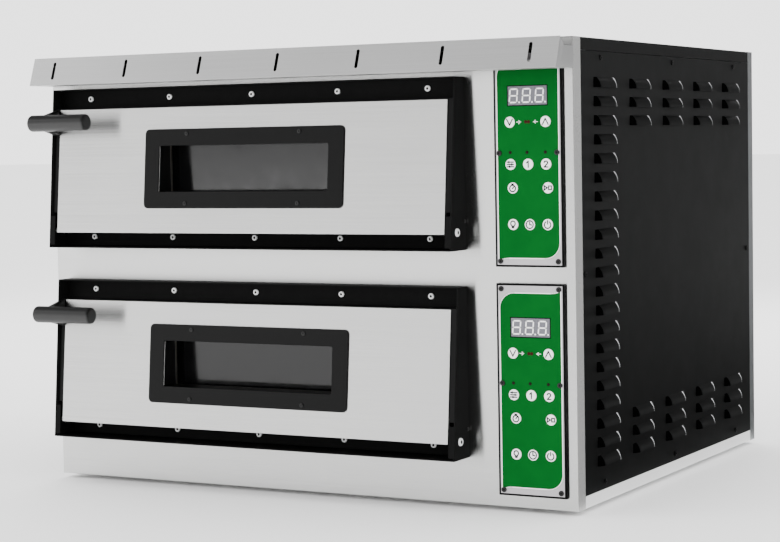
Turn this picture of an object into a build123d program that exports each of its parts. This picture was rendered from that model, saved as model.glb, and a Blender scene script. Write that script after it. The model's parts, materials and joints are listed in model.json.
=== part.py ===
from build123d import *

# Two-deck electric pizza oven for a counter. Sizes are in millimetres.
# Frame: +Z up, the doors face -Y, the origin is under the middle of the whole object.

# ---- driving dimensions -------------------------------------------------------------------
BODY_W, BODY_D, BODY_H = 1000.0, 847.0, 737.0
FOOT_H, FOOT_R, FOOT_INSET, FOOT_TAPER = 8.0, 20.0, 75.0, 4.0
SHEET = 1.5                     # cabinet sheet metal
RETURN_D = 28.0                 # fascia folded back round the cabinet's front edges
REAR_RETURN = 26.0              # rear panel folded forward round the back edges
GAP = 0.7                       # open joint between neighbouring cabinet sheets
LID_DROP, BASE_RISE = 20.0, 19.5

DECKS = {"upper": 543.6, "lower": 212.0}      # height of each deck's middle above the base
DECK_X = -81.75                               # middle of the doors, left of the cabinet's middle
SURROUND_W, SURROUND_H, SURROUND_T = 786.5, 274.0, 3.0
CHEEK_T, CHEEK_TOP, CHEEK_FOOT = 2.0, 31.0, 54.0
MOUTH_W, MOUTH_LOW, MOUTH_HIGH = 704.0, -72.0, 78.0
SCREW_PITCH, SCREW_RISE = 165.8, 120.0
SCREW_HOLE_R, SCREW_PLAY, HEAD_R, HEAD_T, SOCKET_R = 2.7, 0.2, 4.8, 3.0, 2.0

DOOR_W, DOOR_TOP, DOOR_LOW, DOOR_BACK = 780.5, 103.0, -111.0, -6.0
FACING_W, FACING_T, FACING_TOP, FACING_TOP_Y, FACING_LOW_Y = 759.2, 2.0, 102.0, -29.1, -49.0
NOTCH_W, NOTCH_TOP, LUG_W, LUG_R = 9.0, -76.0, 9.0, 9.0
PIVOT_Y, PIVOT_Z, PIN_R, PIN_PLAY = -32.0, -108.0, 4.0, 0.05
WINDOW_Z, WINDOW_W, WINDOW_H = -2.3, 332.0, 78.0
WINDOW_RIM_W, WINDOW_RIM_H, WINDOW_RIM_T = 390.0, 134.5, 3.0
PLUG_W, PLUG_LOW, PLUG_HIGH, PLUG_BACK = 684.0, -62.0, 68.0, 14.0
GLASS_T, GLASS_LAP = 4.0, 6.0
GRIP_R, GRIP_L, GRIP_Y, GRIP_Z, GRIP_LEFT = 14.4, 119.0, -75.0, 79.0, -490.0

CHAMBER_W, CHAMBER_D = 720.0, 745.0
CHAMBER_LOW, CHAMBER_HIGH = -100.0, 85.0
STONE_T, STONE_D, STONE_FRONT, STONE_PLAY, LEDGE_W = 16.0, 725.0, 16.0, 2.0, 15.0
WOOL_SIDE, WOOL_T = 24.0, 40.0

PANELS = {"upper": 381.0, "lower": 19.5}      # lower edge of each control bezel
PANEL_X, BEZEL_W, BEZEL_H, BEZEL_D, BEZEL_RIM = 424.5, 116.4, 335.5, 6.0, 3.2
OVERLAY_W, OVERLAY_LOW, OVERLAY_HIGH, OVERLAY_R, OVERLAY_T = 105.0, 13.5, 321.0, 25.0, 0.4
BEZEL_LAP = 6.0
FLICK_L, FLICK_H = 16.0, 3.5                  # the film's two pointed corners
PANEL_SCREW_X, PANEL_SCREW_Z = 49.3, (9.0, 178.1, 327.1)
PANEL_HEAD_R, PANEL_HEAD_T, PANEL_SHANK_R, PANEL_HOLE_R, PANEL_SHANK_BACK = 4.4, 1.6, 1.5, 1.7, 2.0
DISPLAY_W, DISPLAY_H, DISPLAY_Z = 66.6, 29.6, 266.8
KEY_R, KEY_PLAY, KEY_STEM_R = 8.5, 0.4, 3.0
KEYS = {
    "down": (-30.3, 226.0), "up": (30.6, 226.0),
    "set": (-29.8, 160.3), "one": (0.3, 160.3), "two": (30.8, 160.3),
    "timer": (-26.6, 123.5), "start": (33.4, 123.5),
    "lamp": (-26.8, 66.5), "clock": (1.9, 66.5), "power": (32.3, 66.5),
}

CANOPY_FLAT, CANOPY_LIP, CANOPY_LOW = 722.0, 736.0, 688.0
CANOPY_FOLD_Y, CANOPY_LIP_Y, CANOPY_LOW_Y = -34.0, -48.0, -65.0
SLOT_PITCH, SLOT_COUNT, SLOT_L, SLOT_W = 151.0, 7, 30.0, 6.0
STEAM_W, STEAM_D, STEAM_Y, CANOPY_GAP = 60.0, 14.0, -32.0, 12.0    # steam outlets under the canopy

LOUVRE_L, LOUVRE_H, LOUVRE_OUT = 90.0, 16.0, 8.0
LOUVRE_Y0, LOUVRE_PITCH_Y, LOUVRE_Z0, LOUVRE_PITCH_Z = 123.0, 149.5, 60.0, 30.0
LOUVRE_ROWS, LOUVRE_COLUMNS, LOUVRE_SHORT = 21, 5, 3
LOUVRE_END, LOUVRE_FLAT = 7.0, 7.0                 # run of a louvre's ends, height of its outer face
LOUVRE_OPEN_Z, LOUVRE_OPEN_H = 3.0, 9.0

GLAND_R, GLAND_BORE_R, GLAND_OUT, GLAND_IN = 15.0, 6.5, 22.0, 10.0
GLAND_X, GLAND_Z, GLAND_CAP_R, GLAND_THREAD_R, GLAND_HOLE_R = 400.0, 70.0, 12.0, 9.3, 9.5
VENT_X, VENT_Z, VENT_PITCH, VENT_ROWS, VENT_L, VENT_W = 320.0, 560.0, 18.0, 9, 120.0, 6.0
REAR_SCREWS = [(x, z) for x in (-485.0, 0.0, 485.0) for z in (14.0, 723.0)] + [(-485.0, 368.5), (485.0, 368.5)]
SIDE_HEAD_R, SIDE_HEAD_T, SIDE_SHANK_R, SIDE_SHANK_L, SIDE_HOLE_R = 4.5, 2.0, 2.1, 3.0, 2.2

# ---- worked out from them -----------------------------------------------------------------
FRONT_Y = ((GRIP_R - GRIP_Y) - (BODY_D + GLAND_OUT)) / 2    # where the fascia's face lies
HALF_W = BODY_W / 2
SIDE_FRONT, SIDE_BACK = RETURN_D + GAP, BODY_D - REAR_RETURN - GAP
DOOR_LEAN = (FACING_LOW_Y - FACING_TOP_Y) / (DOOR_LOW - FACING_TOP)


def front(y=0.0, x=0.0, z=0.0):
    """Plane facing the user, y behind the fascia's face and z above the base."""
    return Plane(origin=(x, FRONT_Y + y, FOOT_H + z), x_dir=(1, 0, 0), z_dir=(0, -1, 0))


def side(x=0.0, y=0.0, z=0.0):
    """Plane facing +X, drawn in depth behind the fascia and height above the base."""
    return Plane(origin=(x, FRONT_Y + y, FOOT_H + z), x_dir=(0, 1, 0), z_dir=(1, 0, 0))


def level(z=0.0, x=0.0, y=0.0):
    """Plane facing up, z above the base."""
    return Plane(origin=(x, FRONT_Y + y, FOOT_H + z), x_dir=(1, 0, 0), z_dir=(0, 0, 1))


def save(builder, name):
    builder.part.label = name
    export_step(builder.part, f"parts/{name}.step")


def facing_y(z):
    """Depth of the leaning door facing's front at a height from the deck's middle."""
    return FACING_TOP_Y + (z - FACING_TOP) * DOOR_LEAN


def pan_y(z):
    return facing_y(z) + FACING_T


def cheek_y(z):
    """Depth of the cheek's front edge."""
    return -CHEEK_FOOT + (z + SURROUND_H / 2) * (CHEEK_FOOT - CHEEK_TOP) / SURROUND_H


# ---- cabinet shells -----------------------------------------------------------------------
MOUTHS = [(DECK_X, z + (MOUTH_LOW + MOUTH_HIGH) / 2) for z in DECKS.values()]
SURROUND_SCREWS = [
    (DECK_X + i * SCREW_PITCH, z + s * SCREW_RISE)
    for z in DECKS.values() for s in (-1, 1) for i in range(-2, 3)
]
PANEL_SCREWS = [
    (PANEL_X + s * PANEL_SCREW_X, low + z)
    for low in PANELS.values() for s in (-1, 1) for z in PANEL_SCREW_Z
]

with BuildPart() as front_fascia:
    with BuildSketch(front(SHEET)):
        with Locations((0, BODY_H / 2)):
            Rectangle(BODY_W, BODY_H)
        with Locations(*MOUTHS):
            Rectangle(MOUTH_W, MOUTH_HIGH - MOUTH_LOW, mode=Mode.SUBTRACT)
        with Locations(*[(PANEL_X, low + BEZEL_H / 2) for low in PANELS.values()]):
            Rectangle(BEZEL_W - 2 * BEZEL_LAP, BEZEL_H - 2 * BEZEL_LAP, mode=Mode.SUBTRACT)
        with Locations(*SURROUND_SCREWS):
            Circle(SCREW_HOLE_R, mode=Mode.SUBTRACT)
    extrude(amount=SHEET)
    with BuildSketch(front(RETURN_D)):
        with Locations((0, BODY_H / 2)):
            Rectangle(BODY_W, BODY_H)
            Rectangle(BODY_W - 2 * SHEET, BODY_H - 2 * SHEET, mode=Mode.SUBTRACT)
    extrude(amount=RETURN_D - SHEET)
save(front_fascia, "front_fascia")

with BuildPart() as rear_panel:
    with BuildSketch(front(BODY_D)):
        with Locations((0, BODY_H / 2)):
            Rectangle(BODY_W, BODY_H)
        with Locations((GLAND_X, GLAND_Z)):
            Circle(GLAND_HOLE_R, mode=Mode.SUBTRACT)
        with Locations((VENT_X, VENT_Z), (-VENT_X, VENT_Z)):
            with GridLocations(0, VENT_PITCH, 1, VENT_ROWS):
                SlotOverall(VENT_L, VENT_W, mode=Mode.SUBTRACT)
        with Locations(*REAR_SCREWS):
            Circle(SIDE_HOLE_R, mode=Mode.SUBTRACT)
    extrude(amount=SHEET)
    with BuildSketch(front(BODY_D - SHEET)):
        with Locations((0, BODY_H / 2)):
            Rectangle(BODY_W, BODY_H)
            Rectangle(BODY_W - 2 * SHEET, BODY_H - 2 * SHEET, mode=Mode.SUBTRACT)
    extrude(amount=REAR_RETURN - SHEET)
save(rear_panel, "rear_panel")

with BuildPart() as top_cover:
    with BuildSketch(front(SIDE_BACK)):
        with Locations((0, BODY_H - LID_DROP / 2)):
            Rectangle(BODY_W, LID_DROP)
        with Locations((0, BODY_H - LID_DROP / 2 - SHEET)):
            Rectangle(BODY_W - 2 * SHEET, LID_DROP, mode=Mode.SUBTRACT)
    extrude(amount=SIDE_BACK - SIDE_FRONT)
save(top_cover, "top_cover")

with BuildPart() as base_tray:
    with BuildSketch(front(SIDE_BACK)):
        with Locations((0, BASE_RISE / 2)):
            Rectangle(BODY_W, BASE_RISE)
        with Locations((0, BASE_RISE / 2 + SHEET)):
            Rectangle(BODY_W - 2 * SHEET, BASE_RISE, mode=Mode.SUBTRACT)
    extrude(amount=SIDE_BACK - SIDE_FRONT)
save(base_tray, "base_tray")

SIDE_LOW, SIDE_HIGH = BASE_RISE + GAP, BODY_H - LID_DROP - GAP
SIDE_SCREWS = (
    [(y, z) for y in (107.5, 422.0, 736.0) for z in (31.5, 706.5)] + [(805.0, 368.5), (36.0, 368.5)]
)
LOUVRES = [
    (LOUVRE_Y0 + c * LOUVRE_PITCH_Y, LOUVRE_Z0 + r * LOUVRE_PITCH_Z)
    for c in range(LOUVRE_COLUMNS) for r in range(LOUVRE_ROWS)
    if c == 0 or r < LOUVRE_SHORT or r >= LOUVRE_ROWS - LOUVRE_SHORT
]


def louvre_shape(grow):
    """Outside of one pressed louvre, or its hollow when grow is negative."""
    with BuildPart() as hood:
        with BuildSketch(side(HALF_W)):
            with Locations((0, LOUVRE_H / 2)):
                Rectangle(LOUVRE_L + 2 * grow, LOUVRE_H + 2 * grow)
        with BuildSketch(side(HALF_W + LOUVRE_OUT + grow)):
            with Locations((0, LOUVRE_FLAT / 2)):
                Rectangle(LOUVRE_L - 2 * LOUVRE_END + 2 * grow, LOUVRE_FLAT + 2 * grow)
        loft()
    return hood.part


def make_side_panel(name):
    outside, hollow = louvre_shape(0.0), louvre_shape(-SHEET)
    spots = [(0, y, z) for y, z in LOUVRES]
    with BuildPart() as panel:
        with BuildSketch(side(HALF_W - SHEET)):
            with Locations(((SIDE_FRONT + SIDE_BACK) / 2, (SIDE_LOW + SIDE_HIGH) / 2)):
                Rectangle(SIDE_BACK - SIDE_FRONT, SIDE_HIGH - SIDE_LOW)
            with Locations(*SIDE_SCREWS):
                Circle(SIDE_HOLE_R, mode=Mode.SUBTRACT)
        extrude(amount=SHEET)
        with Locations(*spots):
            add(outside)
        with BuildSketch(side(HALF_W - SHEET)):
            with Locations(*[(y, z + LOUVRE_OPEN_Z) for y, z in LOUVRES]):
                Rectangle(LOUVRE_L - 2 * (LOUVRE_END + 1), LOUVRE_OPEN_H)
        extrude(amount=LOUVRE_OUT, mode=Mode.SUBTRACT)
        with Locations(*spots):
            add(hollow, mode=Mode.SUBTRACT)
        if name.startswith("left"):
            mirror(about=Plane.YZ, mode=Mode.REPLACE)
    save(panel, name)


make_side_panel("right_side_panel")
make_side_panel("left_side_panel")

with BuildPart() as cabinet_screws:
    for way in (-1, 1):
        with BuildSketch(side(way * HALF_W)):
            with Locations(*SIDE_SCREWS):
                Circle(SIDE_HEAD_R)
        extrude(amount=way * SIDE_HEAD_T)
        with BuildSketch(side(way * HALF_W)):
            with Locations(*SIDE_SCREWS):
                Circle(SIDE_SHANK_R)
        extrude(amount=-way * SIDE_SHANK_L)
    for radius, out in ((SIDE_HEAD_R, -SIDE_HEAD_T), (SIDE_SHANK_R, SIDE_SHANK_L)):
        with BuildSketch(front(BODY_D)):
            with Locations(*REAR_SCREWS):
                Circle(radius)
        extrude(amount=out)
save(cabinet_screws, "cabinet_screws")

with BuildPart() as canopy:
    with BuildSketch(side(-HALF_W)):
        with BuildLine():
            Polyline(
                (0, CANOPY_FLAT), (CANOPY_FOLD_Y, CANOPY_FLAT), (CANOPY_LIP_Y, CANOPY_LIP),
                (CANOPY_LOW_Y, CANOPY_LOW), (0, CANOPY_LOW), close=True,
            )
        make_face()
    extrude(amount=BODY_W)
    with BuildSketch(side(-HALF_W + SHEET)):
        with BuildLine():
            Polyline(
                (0, CANOPY_FLAT - SHEET), (CANOPY_FOLD_Y - SHEET / 2, CANOPY_FLAT - SHEET),
                (CANOPY_LIP_Y, CANOPY_LIP - 2 * SHEET), (CANOPY_LOW_Y + SHEET, CANOPY_LOW + SHEET),
                (0, CANOPY_LOW + SHEET), close=True,
            )
        make_face()
    extrude(amount=BODY_W - 2 * SHEET, mode=Mode.SUBTRACT)
    with BuildSketch(level(CANOPY_LOW)):
        with Locations((0, STEAM_Y)):
            with GridLocations(SLOT_PITCH, 0, SLOT_COUNT, 1):
                Rectangle(STEAM_W, STEAM_D)
        with Locations((0, -CANOPY_GAP / 2)):
            Rectangle(BODY_W - 2 * SHEET, CANOPY_GAP)
    extrude(amount=SHEET, mode=Mode.SUBTRACT)
    with BuildSketch(front(CANOPY_FOLD_Y)):
        with Locations((0, (CANOPY_LOW + CANOPY_LIP + SHEET) / 2)):
            with GridLocations(SLOT_PITCH, 0, SLOT_COUNT, 1):
                SlotOverall(SLOT_L, SLOT_W, rotation=90)
    extrude(amount=-CANOPY_LOW_Y, mode=Mode.SUBTRACT)
save(canopy, "canopy")

with BuildPart() as rubber_feet:
    with BuildSketch(level(-FOOT_H)):
        with Locations((0, BODY_D / 2)):
            with GridLocations(BODY_W - 2 * FOOT_INSET, BODY_D - 2 * FOOT_INSET, 2, 2):
                Circle(FOOT_R)
    extrude(amount=FOOT_H, taper=FOOT_TAPER)
save(rubber_feet, "rubber_feet")

# ---- welded frame inside ------------------------------------------------------------------
POST, FRAME_T, FRAME_CLEAR, RAIL_INSET = 25.0, 2.0, 3.0, 150.0
POST_X = HALF_W - FRAME_CLEAR - POST / 2
POST_FRONT, POST_BACK = 30.0, BODY_D - 30.0
RAIL_LEVELS = [z + CHAMBER_LOW - SHEET - WOOL_T - POST for z in DECKS.values()]
with BuildPart() as inner_frame:
    with BuildSketch(level(SHEET)):
        with Locations((0, (POST_FRONT + POST_BACK) / 2)):
            with GridLocations(2 * POST_X, POST_BACK - POST_FRONT - POST, 2, 2):
                Rectangle(POST, POST)
                Rectangle(POST - 2 * FRAME_T, POST - 2 * FRAME_T, mode=Mode.SUBTRACT)
    extrude(amount=BODY_H - 2 * SHEET - 1)
    for z in RAIL_LEVELS:
        with BuildSketch(level(z)):
            with Locations((-POST_X, BODY_D / 2), (POST_X, BODY_D / 2)):
                Rectangle(POST, POST_BACK - POST_FRONT - 2 * POST)
            with Locations((0, RAIL_INSET), (0, BODY_D - RAIL_INSET)):
                Rectangle(2 * POST_X - POST, POST)
        extrude(amount=POST)
save(inner_frame, "inner_frame")


# ---- oven chambers ------------------------------------------------------------------------
def make_chamber(deck, z):
    height = CHAMBER_HIGH - CHAMBER_LOW
    middle = (DECK_X, z + (CHAMBER_HIGH + CHAMBER_LOW) / 2)
    with BuildPart() as chamber:
        with BuildSketch(front(SHEET + CHAMBER_D)):
            with Locations(middle):
                Rectangle(CHAMBER_W + 2 * SHEET, height + 2 * SHEET)
        extrude(amount=CHAMBER_D)
        with BuildSketch(front(CHAMBER_D)):
            with Locations(middle):
                Rectangle(CHAMBER_W, height)
        extrude(amount=CHAMBER_D, mode=Mode.SUBTRACT)
        with BuildSketch(front(CHAMBER_D)):
            with Locations((DECK_X, z + (MOUTH_LOW - STONE_T + CHAMBER_LOW) / 2)):
                with GridLocations(CHAMBER_W - LEDGE_W, 0, 2, 1):
                    Rectangle(LEDGE_W, MOUTH_LOW - STONE_T - CHAMBER_LOW)
        extrude(amount=CHAMBER_D - SHEET)
    save(chamber, f"{deck}_chamber")


for deck_name, deck_z in DECKS.items():
    make_chamber(deck_name, deck_z)

with BuildPart() as baking_stones:
    for deck_z in DECKS.values():
        with BuildSketch(level(deck_z + MOUTH_LOW - STONE_T, DECK_X)):
            with Locations((0, STONE_FRONT + STONE_D / 2)):
                Rectangle(CHAMBER_W - 2 * STONE_PLAY, STONE_D)
        extrude(amount=STONE_T)
save(baking_stones, "baking_stones")

ELEMENT_R, ELEMENT_TOP_Z, ELEMENT_LOW_Z = 4.0, 77.0, -94.5
ELEMENT_SPOTS = [90.0 + 110.0 * i for i in range(6)]
with BuildPart() as heating_elements:
    for deck_z in DECKS.values():
        with BuildSketch(side(DECK_X - CHAMBER_W / 2, z=deck_z)):
            with Locations(*[(y, ELEMENT_TOP_Z) for y in ELEMENT_SPOTS]):
                Circle(ELEMENT_R)
        extrude(amount=CHAMBER_W)
        with BuildSketch(side(DECK_X - CHAMBER_W / 2 + LEDGE_W, z=deck_z)):
            with Locations(*[(y, ELEMENT_LOW_Z) for y in ELEMENT_SPOTS]):
                Circle(ELEMENT_R)
        extrude(amount=CHAMBER_W - 2 * LEDGE_W)
save(heating_elements, "heating_elements")

with BuildPart() as insulation:
    for deck_z in DECKS.values():
        wool_mid = (DECK_X, deck_z + (CHAMBER_HIGH + CHAMBER_LOW) / 2)
        chamber_h = CHAMBER_HIGH - CHAMBER_LOW + 2 * SHEET
        with BuildSketch(front(CHAMBER_D + SHEET + WOOL_T)):
            with Locations(wool_mid):
                Rectangle(CHAMBER_W + 2 * (SHEET + WOOL_SIDE), chamber_h + 2 * WOOL_T)
        extrude(amount=CHAMBER_D + WOOL_T)
        with BuildSketch(front(CHAMBER_D + SHEET)):
            with Locations(wool_mid):
                Rectangle(CHAMBER_W + 2 * SHEET, chamber_h)
        extrude(amount=CHAMBER_D, mode=Mode.SUBTRACT)
save(insulation, "insulation")

LAMP_SPOT, LAMP_R, LAMP_DEPTH, LAMP_TAPER = (200.0, 25.0), 22.0, 10.0, 20.0
PROBE_SPOT, PROBE_R, PROBE_L = (420.0, 40.0), 3.0, 14.0
with BuildPart() as lamps_and_probes:
    for deck_z in DECKS.values():
        with BuildSketch(side(DECK_X + CHAMBER_W / 2, z=deck_z)):
            with Locations(LAMP_SPOT):
                Circle(LAMP_R)
        extrude(amount=-LAMP_DEPTH, taper=LAMP_TAPER)
        with BuildSketch(side(DECK_X + CHAMBER_W / 2, z=deck_z)):
            with Locations(PROBE_SPOT):
                Circle(PROBE_R)
        extrude(amount=-PROBE_L)
save(lamps_and_probes, "lamps_and_probes")


# ---- door surrounds -----------------------------------------------------------------------
BRACKET_W, BRACKET_LOW, BRACKET_HIGH = 9.0, -132.0, -82.0


def make_surround(deck, z):
    half_w, half_h = SURROUND_W / 2, SURROUND_H / 2
    with BuildPart() as surround:
        with BuildSketch(side(DECK_X - half_w, z=z)):
            with BuildLine():
                Polyline(
                    (0, -half_h), (-CHEEK_FOOT, -half_h), (-CHEEK_TOP, half_h), (0, half_h),
                    close=True,
                )
            make_face()
        extrude(amount=SURROUND_W)
        with BuildSketch(front(-SURROUND_T, DECK_X, z)):
            Rectangle(SURROUND_W - 2 * CHEEK_T, SURROUND_H - 2 * CHEEK_T)
        extrude(amount=CHEEK_FOOT, mode=Mode.SUBTRACT)
        with BuildSketch(front(0, DECK_X, z)):
            with Locations((0, (MOUTH_LOW + MOUTH_HIGH) / 2)):
                Rectangle(MOUTH_W, MOUTH_HIGH - MOUTH_LOW)
            with GridLocations(SCREW_PITCH, 2 * SCREW_RISE, 5, 2):
                Circle(SCREW_HOLE_R)
        extrude(amount=SURROUND_T, mode=Mode.SUBTRACT)
        with BuildSketch(side(DECK_X - half_w, z=z)):
            with Locations((PIVOT_Y, PIVOT_Z)):
                Circle(PIN_R)
        extrude(amount=SURROUND_W, mode=Mode.SUBTRACT)
        for x in (DECK_X - half_w + CHEEK_T, DECK_X + half_w - CHEEK_T - BRACKET_W):
            with BuildSketch(side(x, z=z)):
                with BuildLine():
                    Polyline(
                        (cheek_y(BRACKET_LOW), BRACKET_LOW), (cheek_y(BRACKET_HIGH), BRACKET_HIGH),
                        (cheek_y(BRACKET_HIGH) + CHEEK_T, BRACKET_HIGH),
                        (cheek_y(BRACKET_LOW) + CHEEK_T, BRACKET_LOW), close=True,
                    )
                make_face()
            extrude(amount=BRACKET_W)
    save(surround, f"{deck}_door_surround")


for deck_name, deck_z in DECKS.items():
    make_surround(deck_name, deck_z)

PIN_L, PIN_HEAD_R, PIN_HEAD_T = 18.0, 6.5, 3.0
with BuildPart() as hinge_pins:
    for deck_z in DECKS.values():
        for way in (-1, 1):
            outer = side(DECK_X + way * SURROUND_W / 2, PIVOT_Y, deck_z + PIVOT_Z)
            with BuildSketch(outer):
                Circle(PIN_HEAD_R)
            extrude(amount=way * PIN_HEAD_T)
            with BuildSketch(outer):
                Circle(PIN_R)
            extrude(amount=-way * PIN_L)
save(hinge_pins, "hinge_pins")

with BuildPart() as front_screws:
    with BuildSketch(front(-SURROUND_T)):
        with Locations(*SURROUND_SCREWS):
            Circle(HEAD_R)
    extrude(amount=HEAD_T)
    with BuildSketch(front(-SURROUND_T - HEAD_T / 2)):
        with Locations(*SURROUND_SCREWS):
            RegularPolygon(SOCKET_R, 6)
    extrude(amount=HEAD_T, mode=Mode.SUBTRACT)
    with BuildSketch(front(SHEET)):
        with Locations(*SURROUND_SCREWS):
            Circle(SCREW_HOLE_R - SCREW_PLAY)
    extrude(amount=SHEET + SURROUND_T)
    with BuildSketch(front(-BEZEL_D - OVERLAY_T)):
        with Locations(*PANEL_SCREWS):
            Circle(PANEL_HEAD_R)
    extrude(amount=PANEL_HEAD_T)
    with BuildSketch(front(-PANEL_SHANK_BACK)):
        with Locations(*PANEL_SCREWS):
            Circle(PANEL_SHANK_R)
    extrude(amount=BEZEL_D + OVERLAY_T - PANEL_SHANK_BACK)
save(front_screws, "front_screws")


# ---- doors --------------------------------------------------------------------------------
def door_slab(x_half, z_low, z_high, inset):
    """Block between the pan's leaning front, moved in by inset, and the door's back."""
    with BuildPart() as slab:
        with BuildSketch(side(DECK_X - x_half)):
            with BuildLine():
                Polyline(
                    (DOOR_BACK, z_low), (pan_y(z_low) + inset, z_low),
                    (pan_y(z_high) + inset, z_high), (DOOR_BACK, z_high), close=True,
                )
            make_face()
        extrude(amount=2 * x_half)
    return slab.part


def make_door_pan(deck, z):
    wide, narrow = DOOR_W / 2, DOOR_W / 2 - NOTCH_W
    with BuildPart() as door_pan:
        add(door_slab(wide, NOTCH_TOP, DOOR_TOP, 0))
        add(door_slab(narrow, DOOR_LOW, DOOR_TOP, 0))
        add(door_slab(wide - SHEET, NOTCH_TOP + SHEET, DOOR_TOP - SHEET, SHEET), mode=Mode.SUBTRACT)
        add(door_slab(narrow - SHEET, DOOR_LOW + SHEET, DOOR_TOP - SHEET, SHEET), mode=Mode.SUBTRACT)
        add(door_slab(WINDOW_W / 2 + SHEET, WINDOW_Z - WINDOW_H / 2 - SHEET,
                      WINDOW_Z + WINDOW_H / 2 + SHEET, 0))
        with BuildSketch(front(0, DECK_X)):
            with Locations((0, WINDOW_Z)):
                Rectangle(WINDOW_W, WINDOW_H)
        extrude(amount=CHEEK_FOOT, mode=Mode.SUBTRACT)
        for x in (DECK_X - narrow, DECK_X + narrow - LUG_W):
            with BuildSketch(side(x)):
                with Locations((PIVOT_Y, PIVOT_Z)):
                    Circle(LUG_R)
            extrude(amount=LUG_W)
        with BuildSketch(side(DECK_X - wide)):
            with Locations((PIVOT_Y, PIVOT_Z)):
                Circle(PIN_R + PIN_PLAY)
        extrude(amount=DOOR_W, mode=Mode.SUBTRACT)
    door_pan.part.locate(Location((0, 0, z)))
    save(door_pan, f"{deck}_door_pan")


def make_door_facing(deck, z):
    with BuildPart() as facing:
        with BuildSketch(side(DECK_X - FACING_W / 2, z=z)):
            with BuildLine():
                Polyline(
                    (facing_y(DOOR_LOW), DOOR_LOW), (facing_y(FACING_TOP), FACING_TOP),
                    (pan_y(FACING_TOP), FACING_TOP), (pan_y(DOOR_LOW), DOOR_LOW), close=True,
                )
            make_face()
        extrude(amount=FACING_W)
        with BuildSketch(front(0, DECK_X, z)):
            with Locations((0, WINDOW_Z)):
                Rectangle(WINDOW_W, WINDOW_H)
        extrude(amount=CHEEK_FOOT, mode=Mode.SUBTRACT)
    save(facing, f"{deck}_door_facing")


def facing_plane(z, lift=0.0):
    """Plane on the facing's front at the window's middle, leaning with it."""
    spot = Plane(
        origin=(DECK_X, FRONT_Y + facing_y(WINDOW_Z), FOOT_H + z + WINDOW_Z),
        x_dir=(1, 0, 0), z_dir=(0, -1, DOOR_LEAN),
    )
    return spot.offset(lift)


WINDOW_SCREW_X, WINDOW_SCREW_Z, WINDOW_HEAD_R, WINDOW_HEAD_T = 110.6, 58.6, 3.6, 1.5
WINDOW_RIM_R, WINDOW_HOLE_R = 8.0, 3.0


def make_window(deck, z):
    with BuildPart() as window_frame:
        with BuildSketch(facing_plane(z)):
            RectangleRounded(WINDOW_RIM_W, WINDOW_RIM_H, WINDOW_RIM_R)
            RectangleRounded(WINDOW_W, WINDOW_H, WINDOW_HOLE_R, mode=Mode.SUBTRACT)
        extrude(amount=WINDOW_RIM_T)
    save(window_frame, f"{deck}_window_frame")
    with BuildPart() as window_screws:
        with BuildSketch(facing_plane(z, WINDOW_RIM_T)):
            with GridLocations(2 * WINDOW_SCREW_X, 2 * WINDOW_SCREW_Z, 2, 2):
                Circle(WINDOW_HEAD_R)
        extrude(amount=WINDOW_HEAD_T)
    save(window_screws, f"{deck}_window_screws")
    with BuildPart() as window_glass:
        with BuildSketch(front(PLUG_BACK - SHEET, DECK_X, z)):
            with Locations((0, WINDOW_Z)):
                Rectangle(WINDOW_W + 2 * GLASS_LAP, WINDOW_H + 2 * GLASS_LAP)
        extrude(amount=GLASS_T)
    save(window_glass, f"{deck}_window_glass")


LINER_W, LINER_LOW, LINER_HIGH = 752.0, -105.0, 98.0


def make_door_liner(deck, z):
    plug_h, plug_mid = PLUG_HIGH - PLUG_LOW, (PLUG_HIGH + PLUG_LOW) / 2
    with BuildPart() as liner:
        with BuildSketch(front(DOOR_BACK + SHEET, DECK_X, z)):
            with Locations((0, (LINER_LOW + LINER_HIGH) / 2)):
                Rectangle(LINER_W, LINER_HIGH - LINER_LOW)
        extrude(amount=SHEET)
        with BuildSketch(front(PLUG_BACK, DECK_X, z)):
            with Locations((0, plug_mid)):
                Rectangle(PLUG_W, plug_h)
        extrude(amount=PLUG_BACK - DOOR_BACK - SHEET)
        with BuildSketch(front(PLUG_BACK - SHEET, DECK_X, z)):
            with Locations((0, plug_mid)):
                Rectangle(PLUG_W - 2 * SHEET, plug_h - 2 * SHEET)
        extrude(amount=PLUG_BACK - SHEET - DOOR_BACK - SHEET, mode=Mode.SUBTRACT)
        with BuildSketch(front(PLUG_BACK, DECK_X, z)):
            with Locations((0, WINDOW_Z)):
                Rectangle(WINDOW_W, WINDOW_H)
        extrude(amount=PLUG_BACK - DOOR_BACK, mode=Mode.SUBTRACT)
    save(liner, f"{deck}_door_liner")


STEM_LEFT, STEM_ROOT_W, STEM_TIP_W, STEM_ROOT_H, STEM_TIP_H = -471.5, 10.0, 15.0, 47.0, 26.0
GRIP_ROUND = 2.5


def make_handle(deck, z):
    with BuildPart() as handle:
        with BuildSketch(side(GRIP_LEFT, GRIP_Y, z + GRIP_Z)):
            Circle(GRIP_R)
        extrude(amount=GRIP_L)
        fillet(handle.edges().filter_by(GeomType.CIRCLE), GRIP_ROUND)
        with BuildSketch(front(pan_y(DOOR_TOP) + FACING_T, STEM_LEFT, z + GRIP_Z)):
            with Locations((STEM_ROOT_W / 2, 0)):
                Rectangle(STEM_ROOT_W, STEM_ROOT_H)
        with BuildSketch(front(GRIP_Y, STEM_LEFT, z + GRIP_Z)):
            with Locations((STEM_TIP_W / 2, 0)):
                Rectangle(STEM_TIP_W, STEM_TIP_H)
        loft()
        for x, depth in ((-HALF_W, FACING_T), (DECK_X - FACING_W / 2, 0)):
            with BuildSketch(side(x, z=z)):
                with BuildLine():
                    Polyline(
                        (0, DOOR_LOW), (facing_y(DOOR_LOW) + depth, DOOR_LOW),
                        (facing_y(DOOR_TOP) + depth, DOOR_TOP), (0, DOOR_TOP), close=True,
                    )
                make_face()
            extrude(amount=BODY_W / 2, mode=Mode.SUBTRACT)
    save(handle, f"{deck}_door_handle")


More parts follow.
